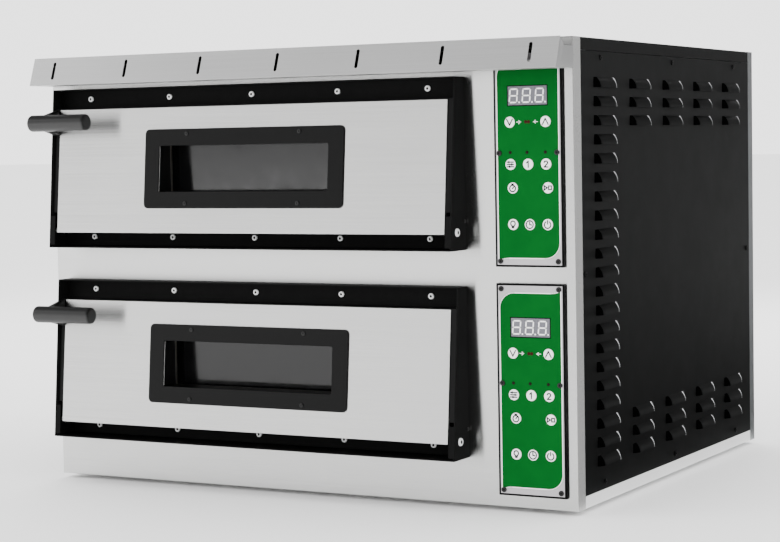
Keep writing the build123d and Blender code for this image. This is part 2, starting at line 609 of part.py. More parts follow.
for deck_name, deck_z in DECKS.items():
    make_door_pan(deck_name, deck_z)
    make_door_facing(deck_name, deck_z)
    make_window(deck_name, deck_z)
    make_door_liner(deck_name, deck_z)
    make_handle(deck_name, deck_z)


# ---- control panels -----------------------------------------------------------------------
PLATE_W, PLATE_H, PLATE_LAP = BEZEL_W - 2 * BEZEL_RIM, BEZEL_H - 2 * BEZEL_RIM, 3.5
BEZEL_SPOTS = [(PANEL_X, low + BEZEL_H / 2) for low in PANELS.values()]
DISPLAY_SPOTS = [(PANEL_X, low + DISPLAY_Z) for low in PANELS.values()]
KEY_SPOTS = [(PANEL_X + x, low + z) for low in PANELS.values() for x, z in KEYS.values()]

with BuildPart() as control_bezels:
    with BuildSketch(front(0)):
        with Locations(*BEZEL_SPOTS):
            Rectangle(BEZEL_W, BEZEL_H)
            Rectangle(PLATE_W - 2 * PLATE_LAP, PLATE_H - 2 * PLATE_LAP, mode=Mode.SUBTRACT)
    extrude(amount=BEZEL_D)
    with BuildSketch(front(-BEZEL_D + SHEET)):
        with Locations(*BEZEL_SPOTS):
            Rectangle(PLATE_W, PLATE_H)
    extrude(amount=SHEET, mode=Mode.SUBTRACT)
save(control_bezels, "control_bezels")

with BuildPart() as control_plates:
    with BuildSketch(front(-BEZEL_D + SHEET)):
        with Locations(*BEZEL_SPOTS):
            Rectangle(PLATE_W, PLATE_H)
        with Locations(*DISPLAY_SPOTS):
            Rectangle(DISPLAY_W, DISPLAY_H, mode=Mode.SUBTRACT)
        with Locations(*KEY_SPOTS):
            Circle(KEY_STEM_R + KEY_PLAY, mode=Mode.SUBTRACT)
        with Locations(*PANEL_SCREWS):
            Circle(PANEL_HOLE_R, mode=Mode.SUBTRACT)
    extrude(amount=SHEET)
save(control_plates, "control_plates")

with BuildPart() as keypad_overlays:
    for low in PANELS.values():
        with BuildSketch(front(-BEZEL_D, PANEL_X, low)):
            with BuildLine():
                half = OVERLAY_W / 2
                Spline((half, OVERLAY_HIGH + FLICK_H), (half - FLICK_L, OVERLAY_HIGH),
                       tangents=((-1, -0.6), (-1, 0)))
                Line((half - FLICK_L, OVERLAY_HIGH), (-half + OVERLAY_R, OVERLAY_HIGH))
                RadiusArc((-half + OVERLAY_R, OVERLAY_HIGH), (-half, OVERLAY_HIGH - OVERLAY_R), -OVERLAY_R)
                Line((-half, OVERLAY_HIGH - OVERLAY_R), (-half, OVERLAY_LOW - FLICK_H))
                Spline((-half, OVERLAY_LOW - FLICK_H), (-half + FLICK_L, OVERLAY_LOW),
                       tangents=((1, 0.6), (1, 0)))
                Line((-half + FLICK_L, OVERLAY_LOW), (half - OVERLAY_R, OVERLAY_LOW))
                RadiusArc((half - OVERLAY_R, OVERLAY_LOW), (half, OVERLAY_LOW + OVERLAY_R), -OVERLAY_R)
                Line((half, OVERLAY_LOW + OVERLAY_R), (half, OVERLAY_HIGH + FLICK_H))
            make_face()
            with Locations((0, DISPLAY_Z)):
                Rectangle(DISPLAY_W, DISPLAY_H, mode=Mode.SUBTRACT)
            with Locations(*KEYS.values()):
                Circle(KEY_R + KEY_PLAY, mode=Mode.SUBTRACT)
            with Locations(*[(s * PANEL_SCREW_X, z) for s in (-1, 1) for z in PANEL_SCREW_Z]):
                Circle(PANEL_HOLE_R, mode=Mode.SUBTRACT)
        extrude(amount=OVERLAY_T)
save(keypad_overlays, "keypad_overlays")

DISPLAY_PLAY, DISPLAY_PROUD, DISPLAY_T = 0.1, 0.2, 5.2
with BuildPart() as digit_displays:
    with BuildSketch(front(DISPLAY_T - BEZEL_D - DISPLAY_PROUD)):
        with Locations(*DISPLAY_SPOTS):
            Rectangle(DISPLAY_W - 2 * DISPLAY_PLAY, DISPLAY_H - 2 * DISPLAY_PLAY)
    extrude(amount=DISPLAY_T)
save(digit_displays, "digit_displays")

KEY_CAP_T, KEY_TRAVEL, KEY_STEM_L = 0.8, 0.35, 4.0
KEY_BACK = -BEZEL_D - 2 * KEY_TRAVEL


def make_key(name, x, z):
    with BuildPart() as key:
        with BuildSketch(front(KEY_BACK, x, z)):
            Circle(KEY_R)
        extrude(amount=KEY_CAP_T)
        with BuildSketch(front(KEY_BACK, x, z)):
            Circle(KEY_STEM_R)
        extrude(amount=-KEY_STEM_L)
    save(key, name)


for panel_name, panel_low in PANELS.items():
    for key_name, (key_x, key_z) in KEYS.items():
        make_key(f"{panel_name}_key_{key_name}", PANEL_X + key_x, panel_low + key_z)

BOARD_Y, BOARD_T, BOARD_W, BOARD_H = 10.0, 1.6, BEZEL_W - 20.0, BEZEL_H - 60.0
PART_W, PART_H, PART_T, PART_PITCH_X, PART_PITCH_Z = 30.0, 34.0, 18.0, 44.0, 60.0
CONTACTOR_X, CONTACTORS, CONTACTOR_W, CONTACTOR_D, BLOCK_H = 410.0, (500.0, 600.0), 70.0, 80.0, 40.0
TERMINALS_Y, TERMINALS_W, TERMINALS_D = 730.0, 60.0, 120.0
with BuildPart() as control_electronics:
    with BuildSketch(front(BOARD_Y + BOARD_T)):
        with Locations(*BEZEL_SPOTS):
            Rectangle(BOARD_W, BOARD_H)
    extrude(amount=BOARD_T)
    with BuildSketch(front(BOARD_Y + BOARD_T + PART_T)):
        with Locations(*BEZEL_SPOTS):
            with GridLocations(PART_PITCH_X, PART_PITCH_Z, 2, 4):
                Rectangle(PART_W, PART_H)
    extrude(amount=PART_T)
    with BuildSketch(level(SHEET, CONTACTOR_X)):
        with Locations(*[(0, y) for y in CONTACTORS]):
            Rectangle(CONTACTOR_W, CONTACTOR_D)
        with Locations((0, TERMINALS_Y)):
            Rectangle(TERMINALS_W, TERMINALS_D)
    extrude(amount=BLOCK_H)
save(control_electronics, "control_electronics")

with BuildPart() as cable_gland:
    with BuildSketch(front(BODY_D, GLAND_X, GLAND_Z)):
        RegularPolygon(GLAND_R, 6)
    extrude(amount=-GLAND_OUT / 2)
    with BuildSketch(front(BODY_D + GLAND_OUT / 2, GLAND_X, GLAND_Z)):
        Circle(GLAND_CAP_R)
    extrude(amount=-GLAND_OUT / 2)
    with BuildSketch(front(BODY_D, GLAND_X, GLAND_Z)):
        Circle(GLAND_THREAD_R)
    extrude(amount=GLAND_IN)
    with BuildSketch(front(BODY_D + GLAND_OUT, GLAND_X, GLAND_Z)):
        Circle(GLAND_BORE_R)
    extrude(amount=GLAND_OUT + GLAND_IN, mode=Mode.SUBTRACT)
save(cable_gland, "cable_gland")
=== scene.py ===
"""Two-deck countertop pizza oven: its finished look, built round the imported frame."""

import json
import math

import bmesh
import bpy
from bpy.props import FloatProperty, FloatVectorProperty, IntProperty, PointerProperty
from mathutils import Matrix, Vector


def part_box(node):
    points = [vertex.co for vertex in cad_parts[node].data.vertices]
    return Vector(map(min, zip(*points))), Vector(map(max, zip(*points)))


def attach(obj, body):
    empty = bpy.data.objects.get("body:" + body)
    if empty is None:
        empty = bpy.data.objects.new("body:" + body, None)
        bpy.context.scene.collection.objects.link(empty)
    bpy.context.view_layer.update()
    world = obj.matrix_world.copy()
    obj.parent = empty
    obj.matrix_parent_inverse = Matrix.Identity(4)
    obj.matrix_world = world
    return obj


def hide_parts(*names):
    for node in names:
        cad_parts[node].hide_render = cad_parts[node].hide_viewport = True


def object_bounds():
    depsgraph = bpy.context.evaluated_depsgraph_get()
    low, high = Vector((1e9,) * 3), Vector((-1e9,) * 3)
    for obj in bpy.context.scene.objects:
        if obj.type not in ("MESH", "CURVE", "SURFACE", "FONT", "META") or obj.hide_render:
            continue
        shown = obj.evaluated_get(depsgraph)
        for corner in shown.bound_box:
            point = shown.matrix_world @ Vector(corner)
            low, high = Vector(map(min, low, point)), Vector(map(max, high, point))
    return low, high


bl_info = {
    "name": "Countertop Pizza Oven",
    "version": (1, 0, 0),
    "blender": (4, 5, 0),
    "location": "View3D > Sidebar > Oven",
    "description": "Builds the oven's sheets, doors, keypads and stage round its frame",
    "category": "Object",
}

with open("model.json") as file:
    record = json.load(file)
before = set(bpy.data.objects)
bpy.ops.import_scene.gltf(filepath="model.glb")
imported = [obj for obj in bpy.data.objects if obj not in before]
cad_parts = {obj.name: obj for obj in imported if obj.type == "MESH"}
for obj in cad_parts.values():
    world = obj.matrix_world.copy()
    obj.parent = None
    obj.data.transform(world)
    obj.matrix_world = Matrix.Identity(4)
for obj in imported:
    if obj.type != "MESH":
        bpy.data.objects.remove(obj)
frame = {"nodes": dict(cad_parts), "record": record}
CAD_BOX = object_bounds()

MM = 0.001
TINY = 1e-5
FASCIA_LOW, FASCIA_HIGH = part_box("front_fascia")
FRONT = FASCIA_LOW.y                    # the fascia's face
BASE = FASCIA_LOW.z                     # underside of the cabinet
HALF_W = FASCIA_HIGH.x
DECKS = {"upper": 543.6, "lower": 212.0}
DECK_X = -81.75
SURROUND_HALF_W, SCREW_PITCH, SCREW_RISE = 393.25, 165.8, 120.0
DOOR_LEAN = 0.09343                     # how far the facing leans back for its height
FACING_Y = -29.1 - 102.0 * DOOR_LEAN    # facing's depth at a deck's middle
PIVOT_Y, PIVOT_Z = -32.0, -108.0
WINDOW_Z, WINDOW_RIM_T = -2.3, 3.0
GRIP_R, GRIP_L, GRIP_ROUND, GRIP_Y, GRIP_Z, GRIP_LEFT = 14.4, 119.0, 3.0, -75.0, 79.0, -490.0
STEM_LEFT = -471.5
STEM_RINGS = (                          # depth, width and height: tall at the door, wide at the grip
    (-30.5, 10.0, 48.5), (-35.0, 10.4, 46.5), (-42.0, 11.2, 43.0),
    (-50.0, 12.2, 39.0), (-60.0, 13.6, 34.0), (-74.0, 15.0, 27.0))
PANELS = {"upper": 381.0, "lower": 19.5}
PANEL_X = 424.5
PANEL_SCREW_X, PANEL_SCREW_Z = 49.3, (9.0, 178.1, 327.1)
OVERLAY_W, OVERLAY_LOW, OVERLAY_HIGH, OVERLAY_R = 105.0, 13.5, 321.0, 25.0
FLICK_L, FLICK_H = 16.0, 3.5
OVERLAY_Y, DISPLAY_Y, DISPLAY_W, DISPLAY_H, DISPLAY_Z = -6.4, -6.2, 66.6, 29.6, 266.8
KEY_R, KEY_BACK_Y, KEY_T = 8.5, -6.7, 0.8
KEYS = {
    "down": (-30.3, 226.0), "up": (30.6, 226.0),
    "set": (-29.8, 160.3), "one": (0.3, 160.3), "two": (30.8, 160.3),
    "timer": (-26.6, 123.5), "start": (33.4, 123.5),
    "lamp": (-26.8, 66.5), "clock": (1.9, 66.5), "power": (32.3, 66.5),
}
LOUVRE_Y0, LOUVRE_PITCH_Y, LOUVRE_Z0, LOUVRE_PITCH_Z = 123.0, 149.5, 60.0, 30.0
LOUVRE_ROWS, LOUVRE_COLUMNS, LOUVRE_SHORT = 21, 5, 3
LOUVRE_L, LOUVRE_H, LOUVRE_OUT, LOUVRE_END, LOUVRE_T = 90.0, 16.0, 8.0, 18.0, 1.2
HOOD_SHADE_END, HOOD_HIGHLIGHT_FROM, HOOD_HIGHLIGHT_TO = -32.5, 32.5, 37.5      # along a hood, from its middle: painted shade before the first, a painted highlight between the other two
SIDE_T = 1.5
FOOT_R = 20.0
SIDE_SCREW_Y, SIDE_SCREW_Z, SIDE_END_SCREW_Y = (107.5, 422.0, 736.0), (31.5, 706.5), (805.0, 36.0)
REAR_SCREW_X, REAR_SCREW_Z, MID_HEIGHT = 485.0, (14.0, 723.0), 368.5
WINDOW_SCREW_X, WINDOW_SCREW_Z = 110.6, 58.6
CHEEK_BOLT_Y, CHEEK_BOLT_Z = -4.5, -91.0
FACING_FRONT = Matrix.Rotation(math.radians(90), 4, "X")      # local Z points at the user


def at(x, y, z):
    """A point in metres, from millimetres across, behind the fascia and above the base."""
    return Vector((x * MM, FRONT + y * MM, BASE + z * MM))


def on_front(x, y, z):
    """Place of a part that faces the user."""
    return Matrix.Translation(at(x, y, z)) @ FACING_FRONT


def on_door(x, z, deck_z, lift=0.0):
    """Place of a part on the leaning door facing, at a height from the deck's middle."""
    lean = Vector((0, -1, DOOR_LEAN)).normalized()
    up = Vector((0, DOOR_LEAN, 1)).normalized()
    turn = Matrix(((1, 0, 0), (0, up.y, lean.y), (0, up.z, lean.z))).to_4x4()
    spot = at(x, FACING_Y + z * DOOR_LEAN, deck_z + z) + lean * lift * MM
    return Matrix.Translation(spot) @ turn


def on_side(way, x, y, z):
    """Place of a part that faces right (way 1) or left (way -1)."""
    return Matrix.Translation(at(x, y, z)) @ Matrix.Rotation(math.radians(90 * way), 4, "Y")


# ---- colours and finishes -------------------------------------------------------------------
def linear(code):
    """An sRGB hex colour as linear red, green and blue."""
    parts = [int(code[i:i + 2], 16) / 255 for i in (1, 3, 5)]
    return tuple(p / 12.92 if p <= 0.04045 else ((p + 0.055) / 1.055) ** 2.4 for p in parts)


def opaque(colour):
    return (*colour[:3], 1.0)


def shade(colour, factor):
    return tuple(min(1.0, part * factor) for part in colour[:3])


def add(tree, kind, values=(), links=(), **settings):
    """Adds one node: its own settings, values for its sockets, and links into them."""
    made = tree.nodes.new(kind)
    for name, value in settings.items():
        setattr(made, name, value)
    for socket, value in dict(values).items():
        made.inputs[socket].default_value = value
    for socket, source in dict(links).items():
        tree.links.new(source, made.inputs[socket])
    return made


def start_material(name, colour, metallic, roughness, **sockets):
    """A material with one principled shader, and its object coordinates."""
    made = bpy.data.materials.new(name)
    made.use_nodes = True
    tree = made.node_tree
    tree.nodes.clear()
    values = {"Base Color": opaque(colour), "Metallic": metallic, "Roughness": roughness}
    values.update({key.replace("_", " "): value for key, value in sockets.items()})
    shader = add(tree, "ShaderNodeBsdfPrincipled", values)
    add(tree, "ShaderNodeOutputMaterial", links={"Surface": shader.outputs["BSDF"]})
    coords = add(tree, "ShaderNodeTexCoord").outputs["Object"]
    made.diffuse_color = opaque(colour)
    return made, tree, shader, coords


def grains(tree, coords, size_mm, detail=2.0, stretch=(1, 1, 1)):
    """Noise whose grains are size_mm across, stretched by a factor along each axis."""
    scale = [1000.0 / (size_mm * s) for s in stretch]
    placed = add(tree, "ShaderNodeMapping", {"Scale": scale}, {"Vector": coords})
    return add(tree, "ShaderNodeTexNoise", {"Scale": 1.0, "Detail": detail, "Roughness": 0.6},
               {"Vector": placed.outputs["Vector"]}).outputs["Fac"]


def spread_to(tree, source, low, high, start=0.3, end=0.7):
    """A pattern's middle range mapped to numbers from low to high."""
    return add(tree, "ShaderNodeMapRange",
               {"From Min": start, "From Max": end, "To Min": low, "To Max": high},
               {"Value": source}).outputs["Result"]


def two_tone(tree, source, first, second, start=0.3, end=0.7):
    """A pattern drawn in two colours."""
    ramp = add(tree, "ShaderNodeValToRGB", links={"Fac": source})
    ramp.color_ramp.elements[0].position, ramp.color_ramp.elements[1].position = start, end
    ramp.color_ramp.elements[0].color = opaque(first)
    ramp.color_ramp.elements[1].color = opaque(second)
    return ramp.outputs["Color"]


def relief(tree, shader, source, depth_mm, strength=0.5):
    """Small bumps of the pattern's depth."""
    bump = add(tree, "ShaderNodeBump", {"Strength": strength, "Distance": depth_mm * MM},
               {"Height": source})
    tree.links.new(bump.outputs["Normal"], shader.inputs["Normal"])


def feed(tree, shader, colour=None, roughness=None):
    for socket, source in (("Base Color", colour), ("Roughness", roughness)):
        if source is not None:
            tree.links.new(source, shader.inputs[socket])


def brushed_steel(name, colour, rough, contrast=0.05, metallic=0.75, line_mm=0.01):
    """Stainless 304 sheet, belt-ground along its length: level lines that smear what it mirrors up and down.
    Real lines are 0.1 mm apart; they are drawn 1.6 mm apart so that they show."""
    made, tree, shader, coords = start_material(
        name, colour, metallic, rough, Anisotropic=0.92, Anisotropic_Rotation=0.25)
    along = add(tree, "ShaderNodeCombineXYZ", {"X": 1.0})
    tree.links.new(along.outputs["Vector"], shader.inputs["Tangent"])
    lines = grains(tree, coords, 1.6, 3.0, (160, 1, 1))
    cloud = grains(tree, coords, 240.0, 2.0)
    mixed = add(tree, "ShaderNodeMath", {1: 0.35}, {0: cloud, 2: lines}, operation="MULTIPLY_ADD")
    grey = mixed.outputs[0]
    feed(tree, shader,
         two_tone(tree, grey, shade(colour, 1 - contrast), shade(colour, 1 + contrast), 0.45, 0.9),
         spread_to(tree, grey, rough - 0.03, rough + 0.04, 0.45, 0.9))
    relief(tree, shader, lines, line_mm, 0.15)
    return made


def baked_coat(name, colour, rough, grain_mm=1.6, depth_mm=0.05, tone=0.06):
    """Black polyester powder coat on steel: satin, with a faint orange peel and a slight cloudiness."""
    made, tree, shader, coords = start_material(name, colour, 0.0, rough, Specular_IOR_Level=0.22)
    peel = grains(tree, coords, grain_mm, 2.0)
    cloud = grains(tree, coords, 60.0, 5.0)
    feed(tree, shader, two_tone(tree, cloud, shade(colour, 1 - tone), shade(colour, 1 + tone)),
         spread_to(tree, cloud, rough - 0.02, rough + 0.03))
    relief(tree, shader, peel, depth_mm, 0.35)
    return made


def vitreous_enamel(name, colour, rough, shine):
    """Black glass enamel fired on steel: glossy and slightly wavy, so the gloss drifts a little."""
    made, tree, shader, coords = start_material(name, colour, 0.0, rough, Specular_IOR_Level=shine)
    wave = grains(tree, coords, 14.0, 3.0)
    feed(tree, shader, two_tone(tree, wave, shade(colour, 0.88), shade(colour, 1.12)),
         spread_to(tree, wave, rough - 0.04, rough + 0.05))
    relief(tree, shader, wave, 0.12, 0.2)
    return made


def zinc_spangle(name, colour, rough):
    """Hot-dip galvanised sheet: dull grey crystals about 9 mm wide, each a little lighter or darker."""
    made, tree, shader, coords = start_material(name, colour, 0.95, rough)
    cells = add(tree, "ShaderNodeTexVoronoi", {"Scale": 1000 / 9.0, "Randomness": 1.0}, {"Vector": coords})
    grey = add(tree, "ShaderNodeRGBToBW", links={"Color": cells.outputs["Color"]}).outputs["Val"]
    feed(tree, shader, two_tone(tree, grey, shade(colour, 0.93), shade(colour, 1.05), 0.2, 0.8),
         spread_to(tree, grey, rough - 0.04, rough + 0.05, 0.2, 0.8))
    relief(tree, shader, grains(tree, coords, 3.0), 0.03, 0.2)
    return made


def heat_steel(name, colour, rough, stain):
    """Steel sheet or sheath that has been hot: a mottled oxide bloom over the metal."""
    made, tree, shader, coords = start_material(name, colour, 0.8, rough)
    bloom = grains(tree, coords, 45.0, 5.0)
    feed(tree, shader, two_tone(tree, bloom, colour, stain),
         spread_to(tree, bloom, rough - 0.08, rough + 0.12))
    relief(tree, shader, grains(tree, coords, 2.0, 3.0), 0.04, 0.3)
    return made


def pressed_clay(name, colour, fleck):
    """Cordierite baking stone, pressed and fired: open pores, buff grit about 2 mm across, no gloss."""
    made, tree, shader, coords = start_material(name, colour, 0.0, 0.92)
    grit = grains(tree, coords, 2.2, 6.0)
    feed(tree, shader, two_tone(tree, grit, fleck, colour, 0.35, 0.55))
    relief(tree, shader, grit, 0.5, 0.6)
    return made


def fibre_mat(name, colour):
    """Needled mineral wool: matted fibres, tens of millimetres long, that scatter all light."""
    made, tree, shader, coords = start_material(name, colour, 0.0, 1.0, Sheen_Weight=0.3)
    hairs = grains(tree, coords, 1.5, 4.0, (9, 1, 3))
    feed(tree, shader, two_tone(tree, hairs, shade(colour, 0.6), colour))
    relief(tree, shader, hairs, 1.0, 0.8)
    return made


def moulded(name, colour, rough, grain_mm=0.9, depth_mm=0.03, tone=0.06, **sockets):
    """Moulded plastic or rubber, or a printed or sprayed film: the fine grain of the tool or the spray."""
    made, tree, shader, coords = start_material(name, colour, 0.0, rough, **sockets)
    pits = grains(tree, coords, grain_mm, 3.0)
    cloud = grains(tree, coords, 30.0, 2.0)
    feed(tree, shader, two_tone(tree, cloud, shade(colour, 1 - tone), shade(colour, 1 + tone)),
         spread_to(tree, pits, rough - 0.05, rough + 0.05))
    relief(tree, shader, pits, depth_mm, 0.35)
    return made


def turned_metal(name, colour, rough, metallic=1.0):
    """Cold-headed screws and pins: plated steel with faint tool chatter."""
    made, tree, shader, coords = start_material(name, colour, metallic, rough)
    chatter = grains(tree, coords, 0.8, 3.0)
    feed(tree, shader, two_tone(tree, chatter, shade(colour, 0.85), shade(colour, 1.1)),
         spread_to(tree, chatter, rough - 0.06, rough + 0.08))
    return made


def clear_sheet(name, colour, rough, transmission):
    """Borosilicate or ceramic glass: flat, tinted through, dulled in patches by a smear of oven grease."""
    made, tree, shader, coords = start_material(
        name, colour, 0.0, rough, IOR=1.5, Transmission_Weight=transmission, Specular_IOR_Level=0.13)
    smear = grains(tree, coords, 35.0, 4.0)
    feed(tree, shader, roughness=spread_to(tree, smear, rough, rough + 0.12))
    return made


def build_finish(name):
    """Makes one of the oven's finishes, with the colours from the panel."""
    c = bpy.context.scene.oven_colours
    recipes = {
        "stainless": lambda: brushed_steel("brushed_304_stainless", c.stainless, 0.23, 0.08, 1.0, 0.004),
        # a copy of the fascia steel with a diffuse share, put on side-facing faces so that they read lighter:
        # painted light
        "side_lit_steel": lambda: brushed_steel("side_lit_stainless", c.stainless, 0.29),
        "canopy_steel": lambda: brushed_steel("folded_304_stainless", c.canopy, 0.4),
        # the canopy's inside is painted dark as the shade behind the slots
        "canopy_inside": lambda: heat_steel("painted_shade_canopy_inside", linear("#2E2D2B"), 0.6, linear("#1C1B19")),
        "galvanised": lambda: zinc_spangle("galvanised_sheet", linear("#B9BCBE"), 0.45),
        "pale_steel": lambda: brushed_steel("base_tray_stainless", linear("#F8F8F8"), 0.42, 0.05, 0.3),
        "black_coating": lambda: baked_coat("black_powder_coat", c.coat, 0.42),
        "black_enamel": lambda: vitreous_enamel("black_door_enamel", c.enamel, 0.36, 0.13),
        # the hoods' front ends are painted near-black as shade, and their rear shoulders painted light grey
        # as a highlight
        "hood_shade": lambda: moulded("painted_shade_hood_ends", linear("#020202"), 0.9, Specular_IOR_Level=0.0),
        "hood_highlight": lambda: moulded("painted_highlight_hood_shoulders", linear("#B4B6B8"), 0.5),
        "soot_enamel": lambda: vitreous_enamel("black_surround_enamel", c.surround, 0.5, 0.015),
        "black_fastener": lambda: turned_metal("black_oxide_screws", linear("#030303"), 0.45, 0.1),
        "bright_fastener": lambda: turned_metal("bright_zinc_screws", linear("#FFFFFF"), 0.5, 0.3),
        # screw sockets painted near-black as the shade in their recesses
        "socket_shade": lambda: turned_metal("painted_shade_screw_sockets", linear("#020202"), 0.9, 0.0),
        "foot_rubber": lambda: moulded("foot_rubber", linear("#242424"), 0.75),
        "aluminised": lambda: heat_steel("aluminised_chamber", linear("#8F8E8A"), 0.5, linear("#7F7A70")),
        "refractory": lambda: pressed_clay("cordierite_stone", linear("#C9B79A"), linear("#A08C70")),
        "element_sheath": lambda: heat_steel("element_sheath", linear("#4B4845"), 0.5, linear("#5C4A3C")),
        "mineral_wool": lambda: fibre_mat("mineral_wool", linear("#C4B98E")),
        "bezel_plastic": lambda: moulded("bezel_abs", linear("#020202"), 0.5, Specular_IOR_Level=0.08),
        "plate_grey": lambda: moulded("grey_panel_paint", c.plate, 0.5, 0.7, 0.02, 0.03),
        "overlay_green": lambda: moulded("green_keypad_film", c.keypad, 0.6, 1.1, 0.02,
                                         Specular_IOR_Level=0.04),
        "display_grey": lambda: moulded("display_lens", linear("#63636A"), 0.3, 2.0, 0.005, 0.04,
                                        Specular_IOR_Level=0.3),
        "key_white": lambda: moulded("white_key_film", linear("#FFFFFF"), 0.45, 0.8, 0.01, 0.01),
        "ink_dark": lambda: moulded("dark_print", linear("#05060C"), 0.6, Specular_IOR_Level=0.05),
        "ink_white": lambda: moulded("white_print", linear("#FFFFFF"), 0.5, 0.9, 0.01, 0.01),
        "ink_red": lambda: moulded("red_lamp_lens", linear("#330A06"), 0.4, Specular_IOR_Level=0.1),
        "status_light": lambda: moulded("status_light_lens", linear("#15100A"), 0.4, Specular_IOR_Level=0.1),
        "board_green": lambda: moulded("circuit_board", linear("#1F5A36"), 0.4),
        "lamp_glass": lambda: clear_sheet("lamp_glass", linear("#F2EFE6"), 0.05, 0.9),
        "gland_plastic": lambda: moulded("nylon_gland", linear("#2B2C2E"), 0.5),
        "handle_plastic": lambda: moulded("phenolic_handle", c.handle, 0.38, 1.2, 0.04, 0.1),
        "oven_glass": lambda: clear_sheet("tinted_oven_glass", linear("#161618"), 0.06, 0.8),
    }
    return recipes[name]()


made_finishes = {}


def finish(name):
    if name not in made_finishes:
        made_finishes[name] = build_finish(name)
    return made_finishes[name]


SLOTS = {row["node"]: row["material_slot"] for row in frame["record"]["subparts"]}


def slot_of(node):
    """The record's material slot of a CAD node."""
    return SLOTS[node]


# ---- mesh helpers ---------------------------------------------------------------------------
def piece(bm, name, body, slot, finishes=None, replaces=()):
    """Turns a mesh into a piece at the origin, with flat faces kept flat and folds smooth."""
    for face in bm.faces:
        face.smooth = True
    for edge in bm.edges:
        edge.smooth = edge.calc_face_angle(math.pi) < math.radians(40)
    mesh = bpy.data.meshes.new(name)
    bm.to_mesh(mesh)
    bm.free()
    for each in finishes or [slot]:
        mesh.materials.append(finish(each))
    made = bpy.data.objects.new(name, mesh)
    bpy.context.scene.collection.objects.link(made)
    evened = made.modifiers.new("even_shading", "WEIGHTED_NORMAL")
    evened.keep_sharp = True
    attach(made, body)
    if replaces:
        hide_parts(*replaces)
    return made


def dress(node, name):
    """Gives a CAD node that stays in view its finish."""
    for each in frame["nodes"][node].material_slots:
        each.material = finish(name)


def round_edges(bm, edges, radius_mm, segments=2):
    if edges:
        bmesh.ops.bevel(bm, geom=edges, offset=radius_mm * MM, offset_type="OFFSET", segments=segments,
                        profile=0.5, affect="EDGES", material=-1, clamp_overlap=True)


def bent_edges(bm, degrees):
    """Edges whose two faces turn by more than some degrees."""
    return [e for e in bm.edges if e.is_manifold and e.calc_face_angle(0) > math.radians(degrees)]


def sharp_edges(bm):
    """Edges of real corners, leaving out the short ones round holes."""
    return [e for e in bent_edges(bm, 30) if e.calc_length() > 4 * MM]


def merged_copy(node):
    """A copy of a CAD node with its triangles joined into whole faces."""
    bm = bmesh.new()
    bm.from_mesh(frame["nodes"][node].data)
    bmesh.ops.remove_doubles(bm, verts=bm.verts, dist=TINY)
    bmesh.ops.dissolve_limit(bm, angle_limit=math.radians(1), verts=bm.verts, edges=bm.edges)
    return bm


def folded(node, fold_mm, edge_mm, is_fold):
    """A CAD sheet part with its folds rounded, then its cut edges broken."""
    bm = merged_copy(node)
    folds = [e for e in sharp_edges(bm) if is_fold((e.verts[0].co + e.verts[1].co) / 2, e)]
    round_edges(bm, folds, fold_mm, 3)
    round_edges(bm, [e for e in sharp_edges(bm) if e.calc_face_angle(0) > math.radians(50)], edge_mm, 1)
    return bm


def turned(bm, profile, steps=24):
    """Spins a profile of (radius, height) pairs in millimetres about Z, closed at its poles."""
    verts = [bm.verts.new((r * MM, 0, h * MM)) for r, h in profile]
    edges = [bm.edges.new(pair) for pair in zip(verts, verts[1:])]
    bmesh.ops.spin(bm, geom=verts + edges, cent=(0, 0, 0), axis=(0, 0, 1), angle=math.tau,
                   steps=steps, use_merge=True)
    bmesh.ops.remove_doubles(bm, verts=bm.verts, dist=1e-6)
    bmesh.ops.recalc_face_normals(bm, faces=bm.faces)


def copy_to(bm, places):
    """Copies all of the mesh to each place, and drops the one at the origin."""
    first = bm.verts[:] + bm.edges[:] + bm.faces[:]
    for place in places:
        made = bmesh.ops.duplicate(bm, geom=first)["geom"]
        bmesh.ops.transform(bm, matrix=place, verts=[g for g in made if isinstance(g, bmesh.types.BMVert)])
    bmesh.ops.delete(bm, geom=[g for g in first if isinstance(g, bmesh.types.BMVert)], context="VERTS")


def bar(bm, start, end, width, place, lift=0.0, thick=0.08, material=0):
    """A flat stroke between two points of a face, in millimetres."""
    a, b = Vector(start), Vector(end)
    mid, run = (a + b) / 2, b - a
    spot = (place @ Matrix.Translation(Vector((mid.x, mid.y, lift + thick / 2)) * MM)
            @ Matrix.Rotation(math.atan2(run.y, run.x), 4, "Z")
            @ Matrix.Diagonal(((run.length + width) * MM, width * MM, thick * MM, 1)))
    corners = bmesh.ops.create_cube(bm, size=1.0, matrix=spot)["verts"]
    for face in {f for v in corners for f in v.link_faces}:
        face.material_index = material


def arc_strokes(x, y, radius, start_deg, end_deg, count=12):
    """An arc as strokes (x0, y0, x1, y1)."""
    turns = [math.radians(start_deg + (end_deg - start_deg) * i / count) for i in range(count + 1)]
    points = [(x + radius * math.cos(t), y + radius * math.sin(t)) for t in turns]
    return [(*a, *b) for a, b in zip(points, points[1:])]


def socket_head(radius, height, socket):
    """Button head with a socket, as (radius, height) pairs; screw_heads gives the socket its six corners."""
    return [(0, height * 0.25), (socket, height * 0.25), (socket, height * 0.97), (socket + 0.3, height),
            (radius * 0.7, height), (radius * 0.9, height * 0.94), (radius * 0.985, height * 0.8),
            (radius, height * 0.6), (radius, -0.2), (0, -0.2)]


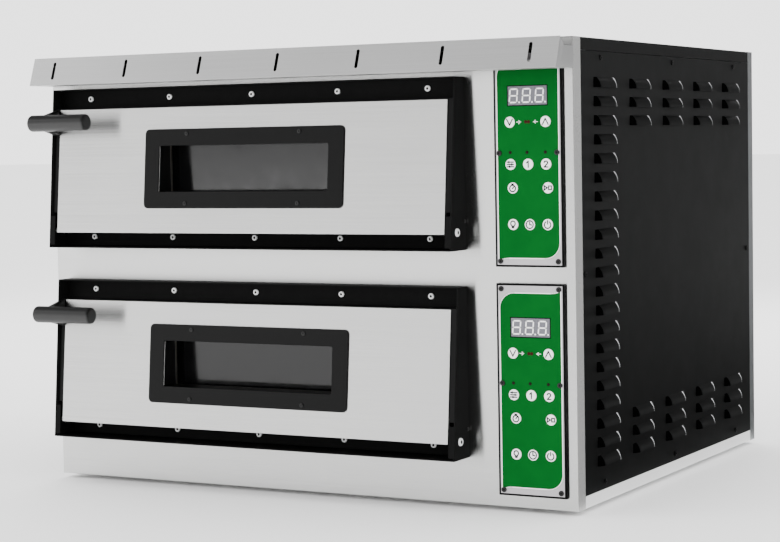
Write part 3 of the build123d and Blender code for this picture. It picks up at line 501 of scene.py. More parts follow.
def screw_heads(radius, height, socket, places):
    """The same screw head at each place, with its six-sided socket in a second, near-black finish that paints
    the shade in the recess.
    """
    bm = bmesh.new()
    turned(bm, socket_head(radius, height, socket))
    # the socket's floor and wall take the painted shade
    for face in bm.faces:
        mid = face.calc_center_median()
        face.material_index = int(mid.xy.length < socket * MM * 1.02 and mid.z > 0)
    for v in bm.verts:
        spot = v.co.xy
        if TINY < spot.length < (socket + 0.1) * MM and v.co.z > 0:
            off = math.atan2(spot.y, spot.x) % math.radians(60) - math.radians(30)
            v.co.xy = spot * (math.cos(math.radians(30)) / math.cos(off))
    copy_to(bm, places)
    return bm


# ---- settings -------------------------------------------------------------------------------
def colour_property(name, words, code):
    return FloatVectorProperty(name=name, description=words, subtype="COLOR", size=3, min=0, max=1,
                               default=linear(code))


class OvenColours(bpy.types.PropertyGroup):
    """Colours that a user would change."""

    stainless: colour_property("Stainless", "Fascia and door facings", "#D0D0CF")
    canopy: colour_property("Canopy", "Folded visor over the doors", "#BEBEBE")
    coat: colour_property("Powder coat", "Lid and side panels", "#0A0B0B")
    enamel: colour_property("Door enamel", "Door pans and window frames", "#0A0A0A")
    surround: colour_property("Surround enamel", "Frames round the doors", "#121212")
    plate: colour_property("Panel grey", "Control plates behind the keypads", "#A9A6A9")
    keypad: colour_property("Keypad green", "Printed keypad film", "#005019")
    handle: colour_property("Handle", "Moulded grips", "#0F0F0F")


class OvenSizes(bpy.types.PropertyGroup):
    """Sizes of finished details, in metres."""

    fold_radius: FloatProperty(name="Fold radius", description="Bend radius of folded sheets",
                               default=1.8 * MM, min=0.2 * MM, max=3 * MM, subtype="DISTANCE", unit="LENGTH")
    cut_edge: FloatProperty(name="Cut edge", description="How far cut sheet edges are broken",
                            default=0.3 * MM, min=0.05 * MM, max=0.6 * MM, subtype="DISTANCE", unit="LENGTH")
    print_line: FloatProperty(name="Print line", description="Width of printed symbol lines",
                              default=1.9 * MM, min=0.3 * MM, max=2.5 * MM, subtype="DISTANCE", unit="LENGTH")
    louvre_steps: IntProperty(name="Louvre steps", description="Faces across a louvre's curve",
                              default=4, min=2, max=8)


class StageSettings(bpy.types.PropertyGroup):
    """Camera, light and floor."""

    lens: FloatProperty(name="Lens", description="Focal length for a 36 mm sensor", default=94.384,
                        min=20, max=300, unit="CAMERA")
    sky: FloatProperty(name="Room light", description="Strength of the even light all round",
                       default=2.6, min=0, max=5)
    backdrop: FloatProperty(name="Backdrop", description="Brightness of the room behind the oven",
                            default=2.7, min=0, max=20)
    mirrored_sky: FloatProperty(name="Mirrored room light", description="Strength of the room in reflections",
                                default=0.3, min=0, max=5)
    key_power: FloatProperty(name="Key light", description="Power of the large front light",
                             default=46.0, min=0, max=2000, unit="POWER")
    floor: colour_property("Floor", "Plain pale floor", "#FBFBFB")


# ---- pieces ---------------------------------------------------------------------------------
def close(a, b):
    return abs(a - b) < TINY


class OVEN_OT_cabinet_sheets(bpy.types.Operator):
    """Fascia, lid, base tray and rear panel with rounded folds"""

    bl_idname = "oven.cabinet_sheets"
    bl_label = "Cabinet sheets"

    def execute(self, context):
        sizes = context.scene.oven_sizes
        fold, edge = sizes.fold_radius / MM, sizes.cut_edge / MM
        rows = (
            ("front_fascia", "stainless", "fascia_sheet"),
            ("rear_panel", "galvanised", "rear_sheet"),
            ("top_cover", "black_coating", "lid_sheet"),
            ("base_tray", "pale_steel", "base_tray_sheet"),
        )
        for node, look, name in rows:
            low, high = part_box(node)

            def is_fold(mid, e, low=low, high=high, node=node):
                sides = close(mid.x, low.x) or close(mid.x, high.x)
                ends = close(mid.z, low.z) or close(mid.z, high.z)
                if node == "front_fascia":
                    return close(mid.y, low.y) and (sides or ends)
                if node == "rear_panel":
                    return close(mid.y, high.y) and (sides or ends)
                level = high.z if node == "top_cover" else low.z
                return sides and close(mid.z, level)

            bm = folded(node, fold, edge, is_fold)
            looks = [look]
            if node == "front_fascia":
                looks.append("side_lit_steel")         # its side-facing faces get a copy of the steel with a diffuse share, so they read lighter: painted light
                for face in bm.faces:
                    face.material_index = int(abs(face.normal.x) > 0.7)
            piece(bm, name, "cabinet", slot_of(node), looks, [node])
        return {"FINISHED"}


class OVEN_OT_canopy(bpy.types.Operator):
    """Folded visor with closed ends and seven slots"""

    bl_idname = "oven.canopy"
    bl_label = "Canopy"

    def execute(self, context):
        sizes = context.scene.oven_sizes

        def is_fold(mid, e):
            along = e.calc_length() > 0.99
            return mid.y < FRONT - TINY and (along or close(abs(mid.x), HALF_W))

        bm = folded("canopy", sizes.fold_radius / MM * 1.2, sizes.cut_edge / MM, is_fold)
        middle = Vector((0, at(0, -26, 0).y, at(0, 0, 706).z))
        for face in bm.faces:                      # the inside, seen through the slots, painted dark as shade
            out = face.calc_center_median() - middle
            out.x = max(0.0, abs(out.x) - HALF_W + 40 * MM) * math.copysign(1, out.x)
            face.material_index = int(face.normal.dot(out) < 0)
        piece(bm, "canopy_visor", "cabinet", slot_of("canopy"), ["canopy_steel", "canopy_inside"], ["canopy"])
        return {"FINISHED"}


def louvre_spots():
    return [(LOUVRE_Y0 + c * LOUVRE_PITCH_Y, LOUVRE_Z0 + r * LOUVRE_PITCH_Z)
            for c in range(LOUVRE_COLUMNS) for r in range(LOUVRE_ROWS)
            if c == 0 or r < LOUVRE_SHORT or r >= LOUVRE_ROWS - LOUVRE_SHORT]


def louvre_hoods(steps):
    """Pressed hoods, open below, on the right side panel."""
    bm = bmesh.new()
    turn = Matrix(((0, 0, 1), (1, 0, 0), (0, 1, 0))).to_4x4()      # local X to depth, Y to height
    made = bmesh.ops.create_grid(bm, x_segments=18, y_segments=steps, size=0.5)["verts"]
    half = max(v.co.x for v in made)
    for v in made:
        across, up = v.co.x / half, (v.co.y / half + 1) / 2
        across = math.copysign(1 - (1 - abs(across)) ** 1.6, across)     # more faces near the ends
        from_end = min(1.0, (1 - abs(across)) * LOUVRE_L / 2 / LOUVRE_END)
        rise = LOUVRE_OUT * (1 - up ** 2.2) * (1 - (1 - from_end) ** 2.4)
        v.co = Vector((across * LOUVRE_L / 2, up * LOUVRE_H, rise)) * MM
    bmesh.ops.recalc_face_normals(bm, faces=bm.faces)
    if sum(f.normal.z for f in bm.faces) < 0:
        bmesh.ops.reverse_faces(bm, faces=bm.faces)
    for face in bm.faces:                          # painted shade on the front ends, and a painted highlight on the rear shoulders
        along = face.calc_center_median().x / MM
        face.material_index = 1 if along < HOOD_SHADE_END else 2 if HOOD_HIGHLIGHT_FROM < along < HOOD_HIGHLIGHT_TO else 0
    bmesh.ops.solidify(bm, geom=bm.faces, thickness=LOUVRE_T * MM)
    side_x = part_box("top_cover")[1].x
    copy_to(bm, [Matrix.Translation(Vector((side_x, at(0, y, z).y, at(0, y, z).z))) @ turn
                 for y, z in louvre_spots()])
    return bm


def side_plate(bm, node):
    """Flat side panel with an opening behind each hood."""
    low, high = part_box(node)
    corners = [bm.verts.new((HALF_W, y, z)) for y, z in
               ((low.y, low.z), (high.y, low.z), (high.y, high.z), (low.y, high.z))]
    bm.faces.new(corners)
    cuts = set()
    holes = []
    for y, z in louvre_spots():
        a, b = at(0, y - LOUVRE_L / 2 + 4, z + 0.6), at(0, y + LOUVRE_L / 2 - 4, z + LOUVRE_H - 5)
        holes.append((a.y, b.y, a.z, b.z))
        cuts |= {(1, round(a.y, 6)), (1, round(b.y, 6)), (2, round(a.z, 6)), (2, round(b.z, 6))}
    for axis, value in sorted(cuts):
        spot, normal = Vector((HALF_W, 0, 0)), Vector((0, 0, 0))
        spot[axis], normal[axis] = value, 1
        bmesh.ops.bisect_plane(bm, geom=bm.verts[:] + bm.edges[:] + bm.faces[:], dist=1e-7,
                               plane_co=spot, plane_no=normal)
    gone = []
    for face in bm.faces:
        mid = face.calc_center_median()
        if any(a < mid.y < b and c < mid.z < d for a, b, c, d in holes):
            gone.append(face)
    bmesh.ops.delete(bm, geom=gone, context="FACES")
    bmesh.ops.recalc_face_normals(bm, faces=bm.faces)
    if bm.faces[:][0].normal.x < 0:
        bmesh.ops.reverse_faces(bm, faces=bm.faces)
    bmesh.ops.solidify(bm, geom=bm.faces, thickness=SIDE_T * MM)


class OVEN_OT_louvred_sides(bpy.types.Operator):
    """Both side panels with their pressed louvres"""

    bl_idname = "oven.louvred_sides"
    bl_label = "Louvred sides"

    def execute(self, context):
        for node, way in (("right_side_panel", 1), ("left_side_panel", -1)):
            bm = bmesh.new()
            side_plate(bm, "right_side_panel")
            hoods = louvre_hoods(context.scene.oven_sizes.louvre_steps)
            extra = bpy.data.meshes.new("hoods")
            hoods.to_mesh(extra)
            hoods.free()
            bm.from_mesh(extra)
            bpy.data.meshes.remove(extra)
            if way < 0:
                bmesh.ops.scale(bm, vec=(-1, 1, 1), verts=bm.verts)
                bmesh.ops.reverse_faces(bm, faces=bm.faces)
            piece(bm, f"{node}_louvred", "cabinet", slot_of(node),
                  ["black_coating", "hood_shade", "hood_highlight"], [node])
        return {"FINISHED"}


class OVEN_OT_feet(bpy.types.Operator):
    """Four rubber feet"""

    bl_idname = "oven.feet"
    bl_label = "Feet"

    def execute(self, context):
        low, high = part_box("rubber_feet")
        r, tall = FOOT_R, (high.z - low.z) / MM
        bm = bmesh.new()
        turned(bm, [(0, 1.2), (8, 1.2), (9, 0), (r - 1, 0), (r, 1), (r - 0.5, tall), (0, tall)], 32)
        inset = r * MM
        copy_to(bm, [Matrix.Translation((x, y, low.z)) for x in (low.x + inset, high.x - inset)
                     for y in (low.y + inset, high.y - inset)])
        piece(bm, "rubber_feet_moulded", "cabinet", slot_of("rubber_feet"), None, ["rubber_feet"])
        return {"FINISHED"}


class OVEN_OT_screws(bpy.types.Operator):
    """Socket screws of the surrounds, panels and sides"""

    bl_idname = "oven.screws"
    bl_label = "Screws"

    def execute(self, context):
        places = [on_front(DECK_X + i * SCREW_PITCH, -3.0, z + s * SCREW_RISE)
                  for z in DECKS.values() for s in (-1, 1) for i in range(-2, 3)]
        piece(screw_heads(4.8, 3.0, 2.4, places), "surround_screws", "cabinet", "bright_fastener",
              ["bright_fastener", "socket_shade"], ["front_screws"])
        places = [on_front(PANEL_X + s * PANEL_SCREW_X, OVERLAY_Y, low + z)
                  for low in PANELS.values() for s in (-1, 1) for z in PANEL_SCREW_Z]
        piece(screw_heads(4.4, 1.6, 1.6, places), "panel_screws", "cabinet", "black_fastener",
              ["black_fastener", "socket_shade"])
        rows = [(y, z) for y in SIDE_SCREW_Y for z in SIDE_SCREW_Z]
        rows += [(y, MID_HEIGHT) for y in SIDE_END_SCREW_Y]
        places = [on_side(way, way * HALF_W / MM, y, z) for way in (-1, 1) for y, z in rows]
        rear_y = (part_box("rear_panel")[1].y - FRONT) / MM
        turn_back = Matrix.Rotation(math.pi, 4, "Z")
        rear = [(x, z) for x in (-REAR_SCREW_X, 0.0, REAR_SCREW_X) for z in REAR_SCREW_Z]
        rear += [(-REAR_SCREW_X, MID_HEIGHT), (REAR_SCREW_X, MID_HEIGHT)]
        places += [Matrix.Translation(at(x, rear_y, z)) @ turn_back @ FACING_FRONT for x, z in rear]
        piece(screw_heads(4.5, 2.0, 1.5, places), "cabinet_screw_heads", "cabinet", "black_fastener",
              ["black_fastener", "socket_shade"], ["cabinet_screws"])
        places = [on_side(way, DECK_X + way * SURROUND_HALF_W, CHEEK_BOLT_Y, z + CHEEK_BOLT_Z)
                  for z in DECKS.values() for way in (-1, 1)]
        piece(screw_heads(3.0, 1.6, 1.1, places), "cheek_bolts", "cabinet", "black_fastener",
              ["black_fastener", "socket_shade"])
        return {"FINISHED"}


class OVEN_OT_surrounds(bpy.types.Operator):
    """Black frames round the doors"""

    bl_idname = "oven.surrounds"
    bl_label = "Door surrounds"

    def execute(self, context):
        for deck in DECKS:
            node = f"{deck}_door_surround"
            low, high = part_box(node)

            def is_fold(mid, e, low=low, high=high):
                return close(mid.y, low.y) and close(mid.z, low.z)

            bm = folded(node, 0.8, 0.3, is_fold)
            piece(bm, f"{deck}_surround_frame", "cabinet", slot_of(node), ["soot_enamel"], [node])
        return {"FINISHED"}


class OVEN_OT_hinge_pins(bpy.types.Operator):
    """Bright hinge pins with a centre hole painted dark as shade"""

    bl_idname = "oven.hinge_pins"
    bl_label = "Hinge pins"

    def execute(self, context):
        profile = [(0, 0.8), (2.6, 0.8), (3.0, 2.6), (3.6, 3.0), (5.4, 2.9), (6.3, 2.1), (6.5, 1.0),
                   (6.5, 0.0), (4.0, 0.0), (4.0, -17.2), (3.4, -18.0), (0, -18.0)]
        bm = bmesh.new()
        turned(bm, profile)
        # the centre hole's floor and wall take the black screw finish: painted shade
        for face in bm.faces:
            mid = face.calc_center_median()
            face.material_index = int(mid.xy.length < 2.9 * MM and mid.z > 0)
        copy_to(bm, [on_side(way, DECK_X + way * SURROUND_HALF_W, PIVOT_Y, z + PIVOT_Z)
                     for z in DECKS.values() for way in (-1, 1)])
        piece(bm, "hinge_pins_turned", "cabinet", slot_of("hinge_pins"),
              ["bright_fastener", "black_fastener"], ["hinge_pins"])
        return {"FINISHED"}


class OVEN_OT_doors(bpy.types.Operator):
    """Door pans, facings, liners, window frames, their screws and glass"""

    bl_idname = "oven.doors"
    bl_label = "Doors"

    def execute(self, context):
        for deck, deck_z in DECKS.items():
            body = f"{deck}_door"
            pan, facing, liner = f"{deck}_door_pan", f"{deck}_door_facing", f"{deck}_door_liner"
            rim, glass, screws = f"{deck}_window_frame", f"{deck}_window_glass", f"{deck}_window_screws"
            bm = folded(pan, 1.0, 0.3, lambda mid, e: e.calc_length() > 0.09)
            piece(bm, f"{pan}_pressed", body, slot_of(pan), ["black_enamel"], [pan])
            low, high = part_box(facing)
            bm = folded(facing, 1.2, 0.3, lambda mid, e, low=low, high=high: (
                close(mid.x, low.x) or close(mid.x, high.x)
                or mid.z < low.z + 3 * MM or mid.z > high.z - 3 * MM))
            piece(bm, f"{facing}_brushed", body, slot_of(facing), ["stainless"], [facing])
            bm = folded(liner, 0.6, 0.3, lambda mid, e: e.calc_length() > 0.1)
            piece(bm, f"{liner}_pressed", body, slot_of(liner), None, [liner])
            bm = merged_copy(rim)
            round_edges(bm, bent_edges(bm, 60), 0.8)
            piece(bm, f"{rim}_moulded", body, slot_of(rim), ["black_enamel"], [rim])
            bm = merged_copy(glass)
            round_edges(bm, sharp_edges(bm), 0.4)
            piece(bm, f"{glass}_pane", body, slot_of(glass), None, [glass])
            places = [on_door(DECK_X + sx * WINDOW_SCREW_X, WINDOW_Z + sz * WINDOW_SCREW_Z,
                              deck_z, WINDOW_RIM_T) for sx in (-1, 1) for sz in (-1, 1)]
            piece(screw_heads(3.6, 1.5, 1.2, places), f"{screws}_socket", body, "black_fastener",
                  ["black_fastener", "socket_shade"], [screws])
        return {"FINISHED"}


class OVEN_OT_handles(bpy.types.Operator):
    """Moulded T-grips with a flared stem"""

    bl_idname = "oven.handles"
    bl_label = "Handles"

    def execute(self, context):
        for deck, deck_z in DECKS.items():
            node = f"{deck}_door_handle"
            bm = bmesh.new()
            inner_r, inner_l = GRIP_R - GRIP_ROUND, GRIP_L - GRIP_ROUND
            rounded = [(inner_r + GRIP_ROUND * math.sin(math.radians(t)),
                        inner_l + GRIP_ROUND * math.cos(math.radians(t))) for t in range(0, 91, 15)]
            profile = [(0, GRIP_L)] + rounded + [(r, GRIP_L - h) for r, h in reversed(rounded)] + [(0, 0)]
            turned(bm, profile, 40)
            bmesh.ops.transform(bm, matrix=on_side(1, GRIP_LEFT, GRIP_Y, deck_z + GRIP_Z), verts=bm.verts)
            loops = []
            for y, wide, tall in STEM_RINGS:
                spot = at(STEM_LEFT + wide / 2, y, deck_z + GRIP_Z)
                half_wide, half_tall = wide * MM / 2, tall * MM / 2
                oval = Matrix.Translation(spot) @ FACING_FRONT @ Matrix.Diagonal((half_wide, half_tall, 1, 1))
                ring = bmesh.ops.create_circle(bm, cap_ends=False, radius=1.0, segments=24, matrix=oval)
                for v in ring["verts"]:                  # from an oval to a soft rectangle
                    off = v.co - spot
                    reach = max(abs(off.x) / half_wide, abs(off.z) / half_tall)
                    v.co = spot + off * (0.35 + 0.65 / reach if reach > 0 else 1)
                loops.append(list({e for v in ring["verts"] for e in v.link_edges}))
            for first, second in zip(loops, loops[1:]):
                bmesh.ops.bridge_loops(bm, edges=first + second)
            for loop in (loops[0], loops[-1]):
                bmesh.ops.edgeloop_fill(bm, edges=loop)
            bmesh.ops.recalc_face_normals(bm, faces=bm.faces)
            made = piece(bm, f"{node}_moulded", f"{deck}_door", slot_of(node), ["handle_plastic"], [node])
            made.modifiers.remove(made.modifiers["even_shading"])
            skin = made.modifiers.new("moulded_skin", "REMESH")
            skin.mode, skin.voxel_size, skin.use_smooth_shade = "VOXEL", 1.3 * MM, True
            soft = made.modifiers.new("moulded_fillets", "SMOOTH")
            soft.iterations, soft.factor = 6, 0.5
        return {"FINISHED"}


SYMBOLS = {
    "down": [(-4.8, 4.4, 0, -4.4), (0, -4.4, 4.8, 4.4)],
    "up": [(-4.8, -4.4, 0, 4.4), (0, 4.4, 4.8, -4.4)],
    "set": [(-5.4, 3.6, 5.4, 3.6), (-5.4, 0, 5.4, 0), (-5.4, -3.6, 5.4, -3.6),
            (-2.6, 2.6, -2.6, 4.6), (2.4, -1.0, 2.4, 1.0), (-1.2, -4.6, -1.2, -2.6)],
    "one": [(-2.2, 2.4, 0.4, 4.6), (0.4, 4.6, 0.4, -4.6)],
    "two": [(-2.8, 2.8, -1.6, 4.4), (-1.6, 4.4, 1.5, 4.4), (1.5, 4.4, 2.8, 2.8), (2.8, 2.8, 2.5, 0.9),
            (2.5, 0.9, -2.9, -4.6), (-2.9, -4.6, 3.2, -4.6)],
    "timer": arc_strokes(0, -0.7, 5.0, 0, 360, 16) + [
        (0, -0.7, 2.4, 2.2), (-1.6, 6.2, 1.6, 6.2), (0, 6.2, 0, 4.6)],
    "start": [(-6.0, 3.4, -6.0, -3.4), (-6.0, 3.4, -1.0, 0), (-1.0, 0, -6.0, -3.4),
              (1.4, 2.8, 6.2, 2.8), (6.2, 2.8, 6.2, -2.8), (6.2, -2.8, 1.4, -2.8), (1.4, -2.8, 1.4, 2.8)],
    "lamp": arc_strokes(0, 1.6, 3.8, -60, 240) + [(-1.8, -3.0, 1.8, -3.0), (-1.3, -5.0, 1.3, -5.0)],
    "clock": arc_strokes(0, 0, 6.0, 0, 360, 18) + [(0, 0, 0, 3.8), (0, 0, 3.0, -0.6)],
    "power": arc_strokes(0, -0.3, 5.4, 125, 415, 16) + [(0, 1.2, 0, 6.2)],
}


class OVEN_OT_keys(bpy.types.Operator):
    """Twenty printed keys, each on its own body"""

    bl_idname = "oven.keys"
    bl_label = "Keys"

    def execute(self, context):
        line = context.scene.oven_sizes.print_line / MM
        profile = [(0, -4.0), (3.0, -4.0), (3.0, 0), (KEY_R, 0), (KEY_R, KEY_T * 0.45),
                   (KEY_R - 0.25, KEY_T * 0.85), (KEY_R - 0.8, KEY_T), (KEY_R - 1.6, KEY_T),
                   (4.5, KEY_T * 0.9), (0, KEY_T * 0.85)]
        for panel, low in PANELS.items():
            for key, (x, z) in KEYS.items():
                node = f"{panel}_key_{key}"
                place = on_front(PANEL_X + x, KEY_BACK_Y, low + z)
                bm = bmesh.new()
                turned(bm, profile, 32)
                copy_to(bm, [place])
                for x0, y0, x1, y1 in SYMBOLS[key]:
                    bar(bm, (x0, y0), (x1, y1), line, place, KEY_T * 0.8, 0.22, 1)
                piece(bm, f"{node}_cap", node, slot_of(node), ["key_white", "ink_dark"], [node])
        return {"FINISHED"}


def film_outline():
    """The green film's edge: round upper left and lower right, pointed at the other two corners."""
    half, low, high, r = OVERLAY_W / 2, OVERLAY_LOW, OVERLAY_HIGH, OVERLAY_R
    points = [(half, high + FLICK_H)]
    points += [(half - FLICK_L * t, high + FLICK_H * (1 - t) ** 1.7) for t in (0.25, 0.5, 0.75, 1.0)]
    turns = [math.radians(90 + 90 * i / 10) for i in range(11)]
    points += [(-half + r + r * math.cos(t), high - r + r * math.sin(t)) for t in turns]
    points.append((-half, low - FLICK_H))
    points += [(-half + FLICK_L * t, low - FLICK_H * (1 - t) ** 1.7) for t in (0.25, 0.5, 0.75, 1.0)]
    points += [(half - r + r * math.cos(t + math.pi), low + r + r * math.sin(t + math.pi)) for t in turns]
    return points + points[:1]


def trace(bm, points, width, place, thick, material=0):
    """A printed line through some points."""
    for a, b in zip(points, points[1:]):
        bar(bm, a, b, width, place, -0.02, thick, material)


DIGIT_W, DIGIT_H, DIGIT_PITCH, DIGIT_SLANT = 12.6, 20.6, 22.0, 0.08
SEGMENTS = ((0, 1, 1, 1), (0, 0.5, 1, 0.5), (0, 0, 1, 0),
            (0, 0.5, 0, 1), (1, 0.5, 1, 1), (0, 0, 0, 0.5), (1, 0, 1, 0.5))
LIGHTS_Z, HEAT_LIGHTS_Z = 178.8, 226.0
LIGHT_SPOTS = ((-30.3, LIGHTS_Z), (-1.5, LIGHTS_Z), (29.6, LIGHTS_Z),
               (-3.2, HEAT_LIGHTS_Z), (1.8, HEAT_LIGHTS_Z))


class OVEN_OT_control_panels(bpy.types.Operator):
    """Bezels, grey plates, green films, their printing, displays and status lights"""

    bl_idname = "oven.control_panels"
    bl_label = "Control panels"

    def execute(self, context):
        for node, edge, name in (("control_bezels", 0.35, "bezel_mouldings"),
                                 ("control_plates", 0.3, "plate_sheets"),
                                 ("digit_displays", 0.3, "display_lenses")):
            bm = merged_copy(node)
            round_edges(bm, sharp_edges(bm), edge)
            piece(bm, name, "cabinet", slot_of(node), None, [node])
        piece(merged_copy("keypad_overlays"), "keypad_films", "cabinet", slot_of("keypad_overlays"), None,
              ["keypad_overlays"])
        prints, lights, digits = bmesh.new(), bmesh.new(), bmesh.new()
        for low in PANELS.values():
            film = on_front(PANEL_X, OVERLAY_Y, low)
            trace(prints, film_outline(), 1.3, film, 0.1)
            x, tall = DISPLAY_W / 2 + 0.6, DISPLAY_H / 2 + 0.6
            corners = [(sx * x, DISPLAY_Z + sz * tall)
                       for sx, sz in ((-1, -1), (1, -1), (1, 1), (-1, 1), (-1, -1))]
            trace(prints, corners, 1.4, film, 0.14, 1)
            for x, way in ((-15.0, 1), (13.5, -1)):        # little arrows either side of the heat light
                z = HEAT_LIGHTS_Z
                trace(prints, [(x - 3.6 * way, z), (x + 3.6 * way, z)], 0.8, film, 0.1)
                trace(prints, [(x, z + 2.4), (x + 2.4 * way, z), (x, z - 2.4)], 0.8, film, 0.1)
            face = on_front(PANEL_X, DISPLAY_Y, low)
            for d in (-1, 0, 1):
                for x0, z0, x1, z1 in SEGMENTS:
                    ends = [(d * DIGIT_PITCH - 1.6 + (px - 0.5) * DIGIT_W
                             + DIGIT_SLANT * (pz - 0.5) * DIGIT_H,
                             DISPLAY_Z + (pz - 0.5) * DIGIT_H) for px, pz in ((x0, z0), (x1, z1))]
                    bar(digits, ends[0], ends[1], 2.0, face, -0.02, 0.08)
                dot = (d * DIGIT_PITCH + DIGIT_W / 2 + 1.8, DISPLAY_Z - DIGIT_H / 2)
                bar(digits, dot, (dot[0] + 0.01, dot[1]), 2.2, face, -0.02, 0.08)
        piece(prints, "keypad_prints", "cabinet", "overlay_green", ["ink_white", "ink_dark"])
        piece(digits, "display_digits", "cabinet", "display_grey", ["ink_white"])
        turned(lights, [(0, -0.2), (2.6, -0.2), (2.6, 0.3), (1.9, 0.7), (0, 0.9)], 16)
        copy_to(lights, [on_front(PANEL_X + x, OVERLAY_Y, low + z)
                         for low in PANELS.values() for x, z in LIGHT_SPOTS])
        red_heights = [at(0, 0, low + HEAT_LIGHTS_Z).z for low in PANELS.values()]
        for face in lights.faces:
            mid = face.calc_center_median()
            face.material_index = int(any(abs(mid.z - height) < 3 * MM for height in red_heights))
        piece(lights, "status_lights", "cabinet", "bezel_plastic", ["status_light", "ink_red"])
        return {"FINISHED"}


class OVEN_OT_chambers(bpy.types.Operator):
    """Baking chambers with stones, elements, lamps and probes"""

    bl_idname = "oven.chambers"
    bl_label = "Chambers"

    def execute(self, context):
        for deck in DECKS:
            dress(f"{deck}_chamber", "aluminised")
        bm = merged_copy("baking_stones")
        round_edges(bm, sharp_edges(bm), 2.0, 3)
        piece(bm, "baking_stones_pressed", "cabinet", slot_of("baking_stones"), None, ["baking_stones"])
        piece(merged_copy("heating_elements"), "heating_element_rods", "cabinet",
              slot_of("heating_elements"), None, ["heating_elements"])
        bm = merged_copy("lamps_and_probes")
        lamp_y = at(0, 300, 0).y
        for face in bm.faces:
            face.material_index = int(face.calc_center_median().y > lamp_y)
        piece(bm, "lamps_and_probe_tips", "cabinet", slot_of("lamps_and_probes"),
              ["lamp_glass", "element_sheath"], ["lamps_and_probes"])
        return {"FINISHED"}


class OVEN_OT_service_parts(bpy.types.Operator):
    """Wool, inner frame, electronics and the cable gland"""

    bl_idname = "oven.service_parts"
    bl_label = "Service parts"

    def execute(self, context):
        dress("insulation", "mineral_wool")
        dress("inner_frame", "galvanised")
        dress("control_electronics", "board_green")
        bm = merged_copy("cable_gland")
        round_edges(bm, bent_edges(bm, 50), 0.6)
        piece(bm, "cable_gland_moulded", "cabinet", slot_of("cable_gland"), None, ["cable_gland"])
        return {"FINISHED"}


# ---- stage ----------------------------------------------------------------------------------
CAMERA_SPOT = (1.76075, -3.29023, 0.586454)
CAMERA_YAW, CAMERA_PITCH, CAMERA_ROLL = 28.695, -3.588, -1.041


FLAGS = (                               # name, place, size, and how it is turned from level
    ("rear_flag", (2.1, 2.3, 1.1), (2.6, 2.2), 90, "X"),
    ("floor_flag", (1.71, 0.9, 0.004), (2.38, 3.4), 0, "X"),
    ("right_flag", (2.9, -0.6, 1.1), (2.2, 3.6), 90, "Y"))
CARDS = (                               # name, place, aim, size, and share of the front light's power
    ("front_card", (-3.2, -4.0, 1.0), (0, -0.4, 0.4), (4.2, 2.4), 1.0),
    ("key_light", (-4.0, -2.7, 3.2), (0, 0, 0.4), (2.0, 1.4), 0.6),
    ("rear_card", (3.2, 4.6, 1.0), (0.5, 0.3, 0.4), (1.6, 1.6), 0.12),
    ("backdrop_card", (-1.0, 2.9, 1.9), (-1.0, 1.2, 0.0), (2.96, 1.8), 1.2))
FLOOR_HALF = 60.0


def level_sheet(name, matrix, finish_made):
    """A square of the stage, one metre across before its matrix."""
    bm = bmesh.new()
    bmesh.ops.create_grid(bm, x_segments=1, y_segments=1, size=0.5, matrix=matrix)
    mesh = bpy.data.meshes.new(name)
    bm.to_mesh(mesh)
    bm.free()
    mesh.materials.append(finish_made)
    made = bpy.data.objects.new(name, mesh)
    bpy.context.scene.collection.objects.link(made)
    return made


def area_light(name, spot, aim, size, power):
    """A soft box that the camera can't see."""
    lamp = bpy.data.lights.new(name, "AREA")
    lamp.shape, lamp.size, lamp.size_y, lamp.energy = "RECTANGLE", size[0], size[1], power
    made = bpy.data.objects.new(name, lamp)
    made.location = spot
    made.rotation_euler = (Vector(aim) - Vector(spot)).to_track_quat("-Z", "Y").to_euler()
    made.visible_camera = False
    bpy.context.scene.collection.objects.link(made)


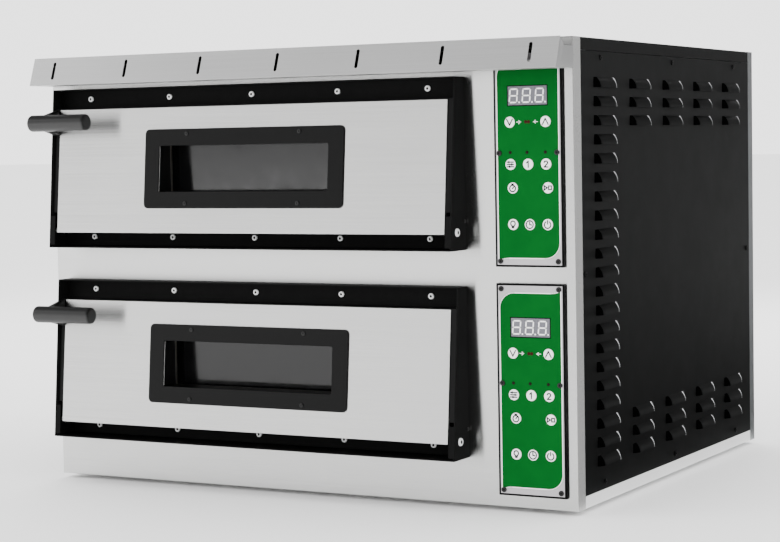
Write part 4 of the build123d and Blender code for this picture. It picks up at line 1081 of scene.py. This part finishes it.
class OVEN_OT_stage(bpy.types.Operator):
    """Camera, plain pale floor and soft studio light"""

    bl_idname = "oven.stage"
    bl_label = "Stage"

    def execute(self, context):
        scene, settings = context.scene, context.scene.oven_stage
        lens = bpy.data.cameras.new("camera")
        lens.lens, lens.sensor_width, lens.clip_start, lens.clip_end = settings.lens, 36.0, 0.05, 200.0
        camera = bpy.data.objects.new("camera", lens)
        camera.matrix_world = (
            Matrix.Translation(CAMERA_SPOT)
            @ Matrix.Rotation(math.radians(CAMERA_YAW), 4, "Z")
            @ Matrix.Rotation(math.radians(90 + CAMERA_PITCH), 4, "X")
            @ Matrix.Rotation(math.radians(CAMERA_ROLL), 4, "Z"))
        scene.collection.objects.link(camera)
        scene.camera = camera

        pale, tree, shader, coords = start_material("pale_floor", settings.floor, 0.0, 0.8)
        drift = grains(tree, coords, 700.0, 2.0)
        feed(tree, shader, two_tone(tree, drift, shade(settings.floor, 0.985), settings.floor))
        wide = Matrix.Diagonal((2 * FLOOR_HALF, 2 * FLOOR_HALF, 1, 1))
        floor = level_sheet("floor", Matrix.Translation((0, 0, CAD_BOX[0].z)) @ wide, pale)

        world = bpy.data.worlds.new("studio")
        world.use_nodes = True
        tree = world.node_tree
        backdrop = tree.nodes["Background"]
        backdrop.inputs["Color"].default_value = (1.0, 1.0, 1.0, 1.0)
        # the room is bright to look at but mirrors dimly, as between the flags of a product studio
        path = add(tree, "ShaderNodeLightPath")
        seen = add(tree, "ShaderNodeMapRange", {"To Min": settings.sky, "To Max": settings.backdrop},
                   {"Value": path.outputs["Is Camera Ray"]})
        level = add(tree, "ShaderNodeMapRange", {"To Max": settings.mirrored_sky},
                    {"Value": path.outputs["Is Glossy Ray"], "To Min": seen.outputs["Result"]})
        tree.links.new(level.outputs["Result"], backdrop.inputs["Strength"])
        world.cycles.sampling_method = "NONE"          # so that mirrors never pick up the bright level
        scene.world = world
        # black flags, seen only in reflections, keep the glancing side panel dark
        black = start_material("flag_cloth", linear("#383838"), 0.0, 1.0, Specular_IOR_Level=0.0)[0]
        for name, spot, size, tilt, axis in FLAGS:
            turn = Matrix.Rotation(math.radians(tilt), 4, axis) @ Matrix.Diagonal((*size, 1, 1))
            flag = level_sheet(name, Matrix.Translation(spot) @ turn, black)
            flag.visible_camera = flag.visible_diffuse = flag.visible_shadow = False
        for name, spot, aim, size, share in CARDS:
            area_light(name, spot, aim, size, settings.key_power * share)
        return {"FINISHED"}


class OVEN_PT_panel(bpy.types.Panel):
    """Lists the oven's sizes, colours and build steps"""

    bl_idname = "OVEN_PT_panel"
    bl_label = "Pizza oven"
    bl_space_type = "VIEW_3D"
    bl_region_type = "UI"
    bl_category = "Oven"

    def draw(self, context):
        for group in (context.scene.oven_colours, context.scene.oven_sizes, context.scene.oven_stage):
            box = self.layout.box()
            for name in group.__annotations__:
                box.prop(group, name)
        for each in OPERATORS:
            self.layout.operator(each.bl_idname)


OPERATORS = (
    OVEN_OT_cabinet_sheets, OVEN_OT_canopy, OVEN_OT_louvred_sides, OVEN_OT_feet, OVEN_OT_screws,
    OVEN_OT_surrounds, OVEN_OT_hinge_pins, OVEN_OT_doors, OVEN_OT_handles, OVEN_OT_control_panels,
    OVEN_OT_keys, OVEN_OT_chambers, OVEN_OT_service_parts, OVEN_OT_stage,
)
CLASSES = (OvenColours, OvenSizes, StageSettings, *OPERATORS, OVEN_PT_panel)


def register():
    for each in CLASSES:
        bpy.utils.register_class(each)
    bpy.types.Scene.oven_colours = PointerProperty(type=OvenColours)
    bpy.types.Scene.oven_sizes = PointerProperty(type=OvenSizes)
    bpy.types.Scene.oven_stage = PointerProperty(type=StageSettings)


def unregister():
    del bpy.types.Scene.oven_colours, bpy.types.Scene.oven_sizes, bpy.types.Scene.oven_stage
    for each in reversed(CLASSES):
        bpy.utils.unregister_class(each)


def main():
    register()
    for each in OPERATORS:
        group, name = each.bl_idname.split(".")
        getattr(getattr(bpy.ops, group), name)()


if __name__ == "__main__":
    main()
